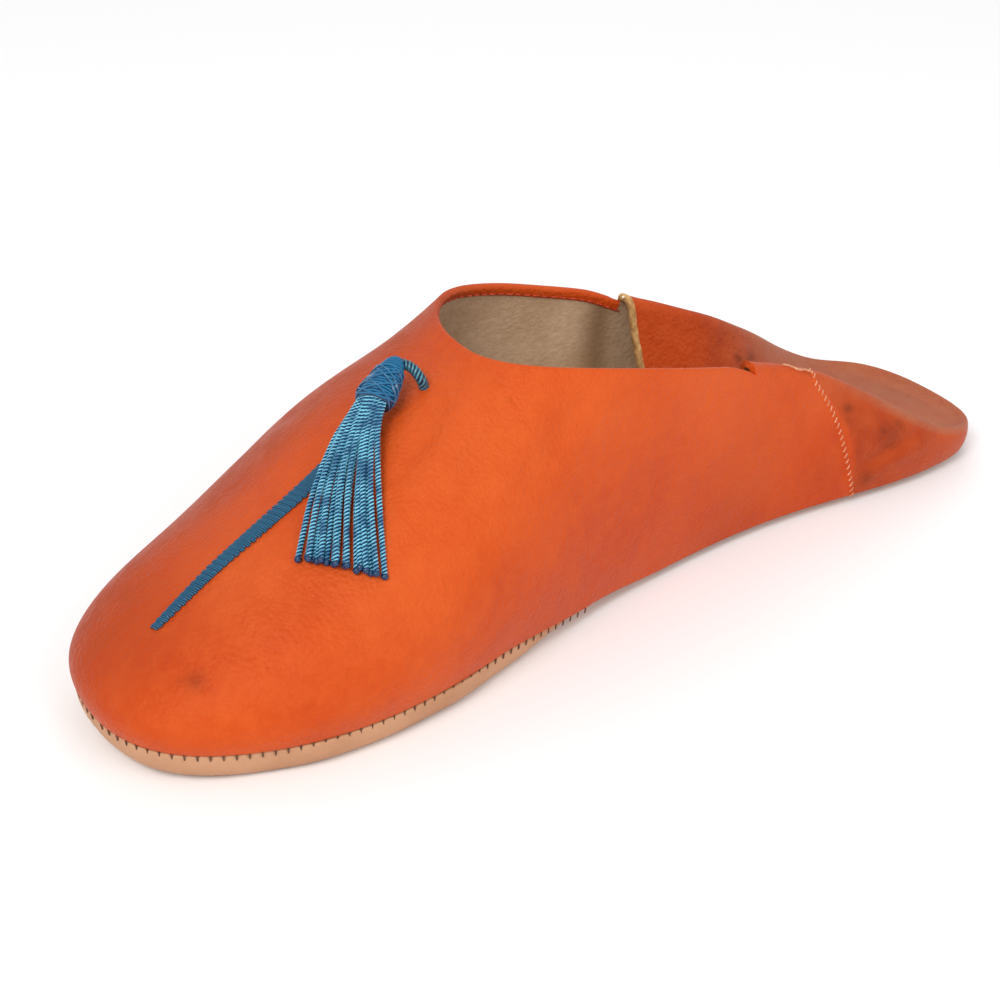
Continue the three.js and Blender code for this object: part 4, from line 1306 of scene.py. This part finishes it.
def strand_path(k):
    """Path of a strand, and the direction out of the leather. Its height over the leather falls
    from the knot's with a power of the way that is left."""
    t = k / (STRANDS - 1)
    spread = 2 * t - 1
    wave = math.sin(5.1 * k) * 0.5 + math.sin(2.3 * k + 1) * 0.5
    start = head_bottom - head_axis * 0.6 + head_side * (0.72 * HEAD_RADIUS * spread)
    start = start + head_up * (2.4 * math.sqrt(1 - spread**2) * (-0.4, 1)[k % 2])
    end = np.array([throat_x + 56.1 - 11.5 * t, 14 + 13 * t]) + np.array([0.9, -0.5]) * wave * 1.3
    along = np.linspace(0, 1, 290) ** 0.95
    bow = np.sin(np.pi * along**0.9)[:, None] * np.array([0.7, -0.7]) * (1.9 - 0.5 * spread + 0.4 * wave)
    flat = start[:2] + (end - start[:2]) * along[:, None] + bow
    ground, out = leather_under(*flat.T)
    ground = ground + out * relief(ground)[:, None]
    settle = (1 - along) ** 1.6
    laid = ground + out * (((0.8, 1.75)[k % 2] + 0.3 * wave) * (1 - settle) + 6 * settle)[:, None]
    near = np.clip(1 - 6 * along, 0, 1)[:, None]
    return laid + (start - laid) * near**1.5, out, wave


def strand_tip(path, out):
    """The small knot at a strand's end: a short tube whose radius is that of an oval."""
    tip = path[-1] + unit(path[-1] - path[-4]) * np.linspace(-0.5, 1.1, 7)[:, None]
    fat = 0.86 * np.sqrt(np.maximum(1 - np.linspace(-0.95, 0.95, 7) ** 2, 0))
    points, faces = tubes(tip[None], out[-1][None, None], fat, 8)
    # Crowns that change from point to point, so the tip gets painted highlight and painted shade in small
    # patches.
    return points, faces, 0.45 + 0.4 * np.sin(2.0 * np.arange(len(points)))


strand_parts = []
for k in range(STRANDS):
    path, out, wave = strand_path(k)
    strand_parts.append(plies(path, head_up, 0.33, 0.37, 1.7 + 0.1 * wave, 2, 1.7 * k, 6))
    strand_parts.append(strand_tip(path, out))
add_threads("twisted_strands", strand_parts, strand_silk, ["tassel_skirt"])

# %% [markdown]
# ## Floor, light and camera
# The shoe stands on a pale floor in soft light, as in a small studio. The main lamp is in front of
# the toe on the near side, a weaker one beside the shoe, a third behind it, and a bright sky fills
# the shadows. One hard lamp would show the grain better, but it would burn the orange out.

# %% Studio
def studio_floor():
    """A wide pale square on z = 0."""
    mesh = bpy.data.meshes.new("studio_floor")
    reach = 4.0
    mesh.from_pydata([(-reach, -reach, 0), (reach, -reach, 0), (reach, reach, 0), (-reach, reach, 0)],
                     [], [(0, 1, 2, 3)])
    new_material("pale_floor")
    mesh.materials.append(finish("pale_floor", (0.95, 0.95, 0.95, 1), 0.9))
    floor = bpy.data.objects.new("studio_floor", mesh)
    bpy.context.collection.objects.link(floor)


def lamp(name, at, aim, size, power):
    """A square area lamp at a place in metres that shines at another."""
    light = bpy.data.lights.new(name, "AREA")
    light.size, light.energy = size, power
    made = bpy.data.objects.new(name, light)
    made.location = at
    made.rotation_euler = (Vector(aim) - Vector(at)).to_track_quat("-Z", "Y").to_euler()
    bpy.context.collection.objects.link(made)


studio_floor()
lamp("key_lamp", (0.9, 0.5, 1.1), (0, 0, 0.02), 0.6, 11)
lamp("fill_lamp", (-0.2, 1.3, 0.9), (0, 0, 0.02), 0.9, 5.5)
lamp("back_lamp", (-0.7, -0.9, 1.2), (0, 0, 0.02), 0.9, 3)
world = bpy.data.worlds.new("studio_sky")
world.use_nodes = True
world.node_tree.nodes["Background"].inputs["Color"].default_value = (1, 1, 1, 1)
world.node_tree.nodes["Background"].inputs["Strength"].default_value = 0.66
bpy.context.scene.world = world
bpy.context.scene.view_settings.view_transform = "Standard"
print("three lamps, a sky and a floor")

# %% [markdown]
# The camera stands where the photo's did. Its place, aim, roll and lens were fitted to the shoe's
# outline beforehand, and they are given here in the shoe's own millimetres.

# %% Camera
CAMERA_AT = (np.array([395.688, 324.24, 272.407]) + ROW_SHIFT) / 1000
CAMERA_AIM = (np.array([130.0, -24.803, 6.062]) + ROW_SHIFT) / 1000
CAMERA_ROLL, CAMERA_LENS = -0.499, 70.307
forward = unit(CAMERA_AIM - CAMERA_AT)
right = unit(np.cross(forward, (0, 0, 1)))
up = np.cross(right, forward)
roll = math.radians(CAMERA_ROLL)
right, up = (right * math.cos(roll) + up * math.sin(roll),
             up * math.cos(roll) - right * math.sin(roll))
camera = bpy.data.objects.new("camera", bpy.data.cameras.new("camera"))
camera.data.lens = CAMERA_LENS
camera.matrix_world = Matrix([[*row, at] for row, at in
                              zip(np.stack([right, up, -forward], -1).tolist(), CAMERA_AT.tolist())]
                             + [[0, 0, 0, 1]])
bpy.context.collection.objects.link(camera)
bpy.context.scene.camera = camera
print("camera at", CAMERA_AT, "with a lens of", camera.data.lens, "mm")
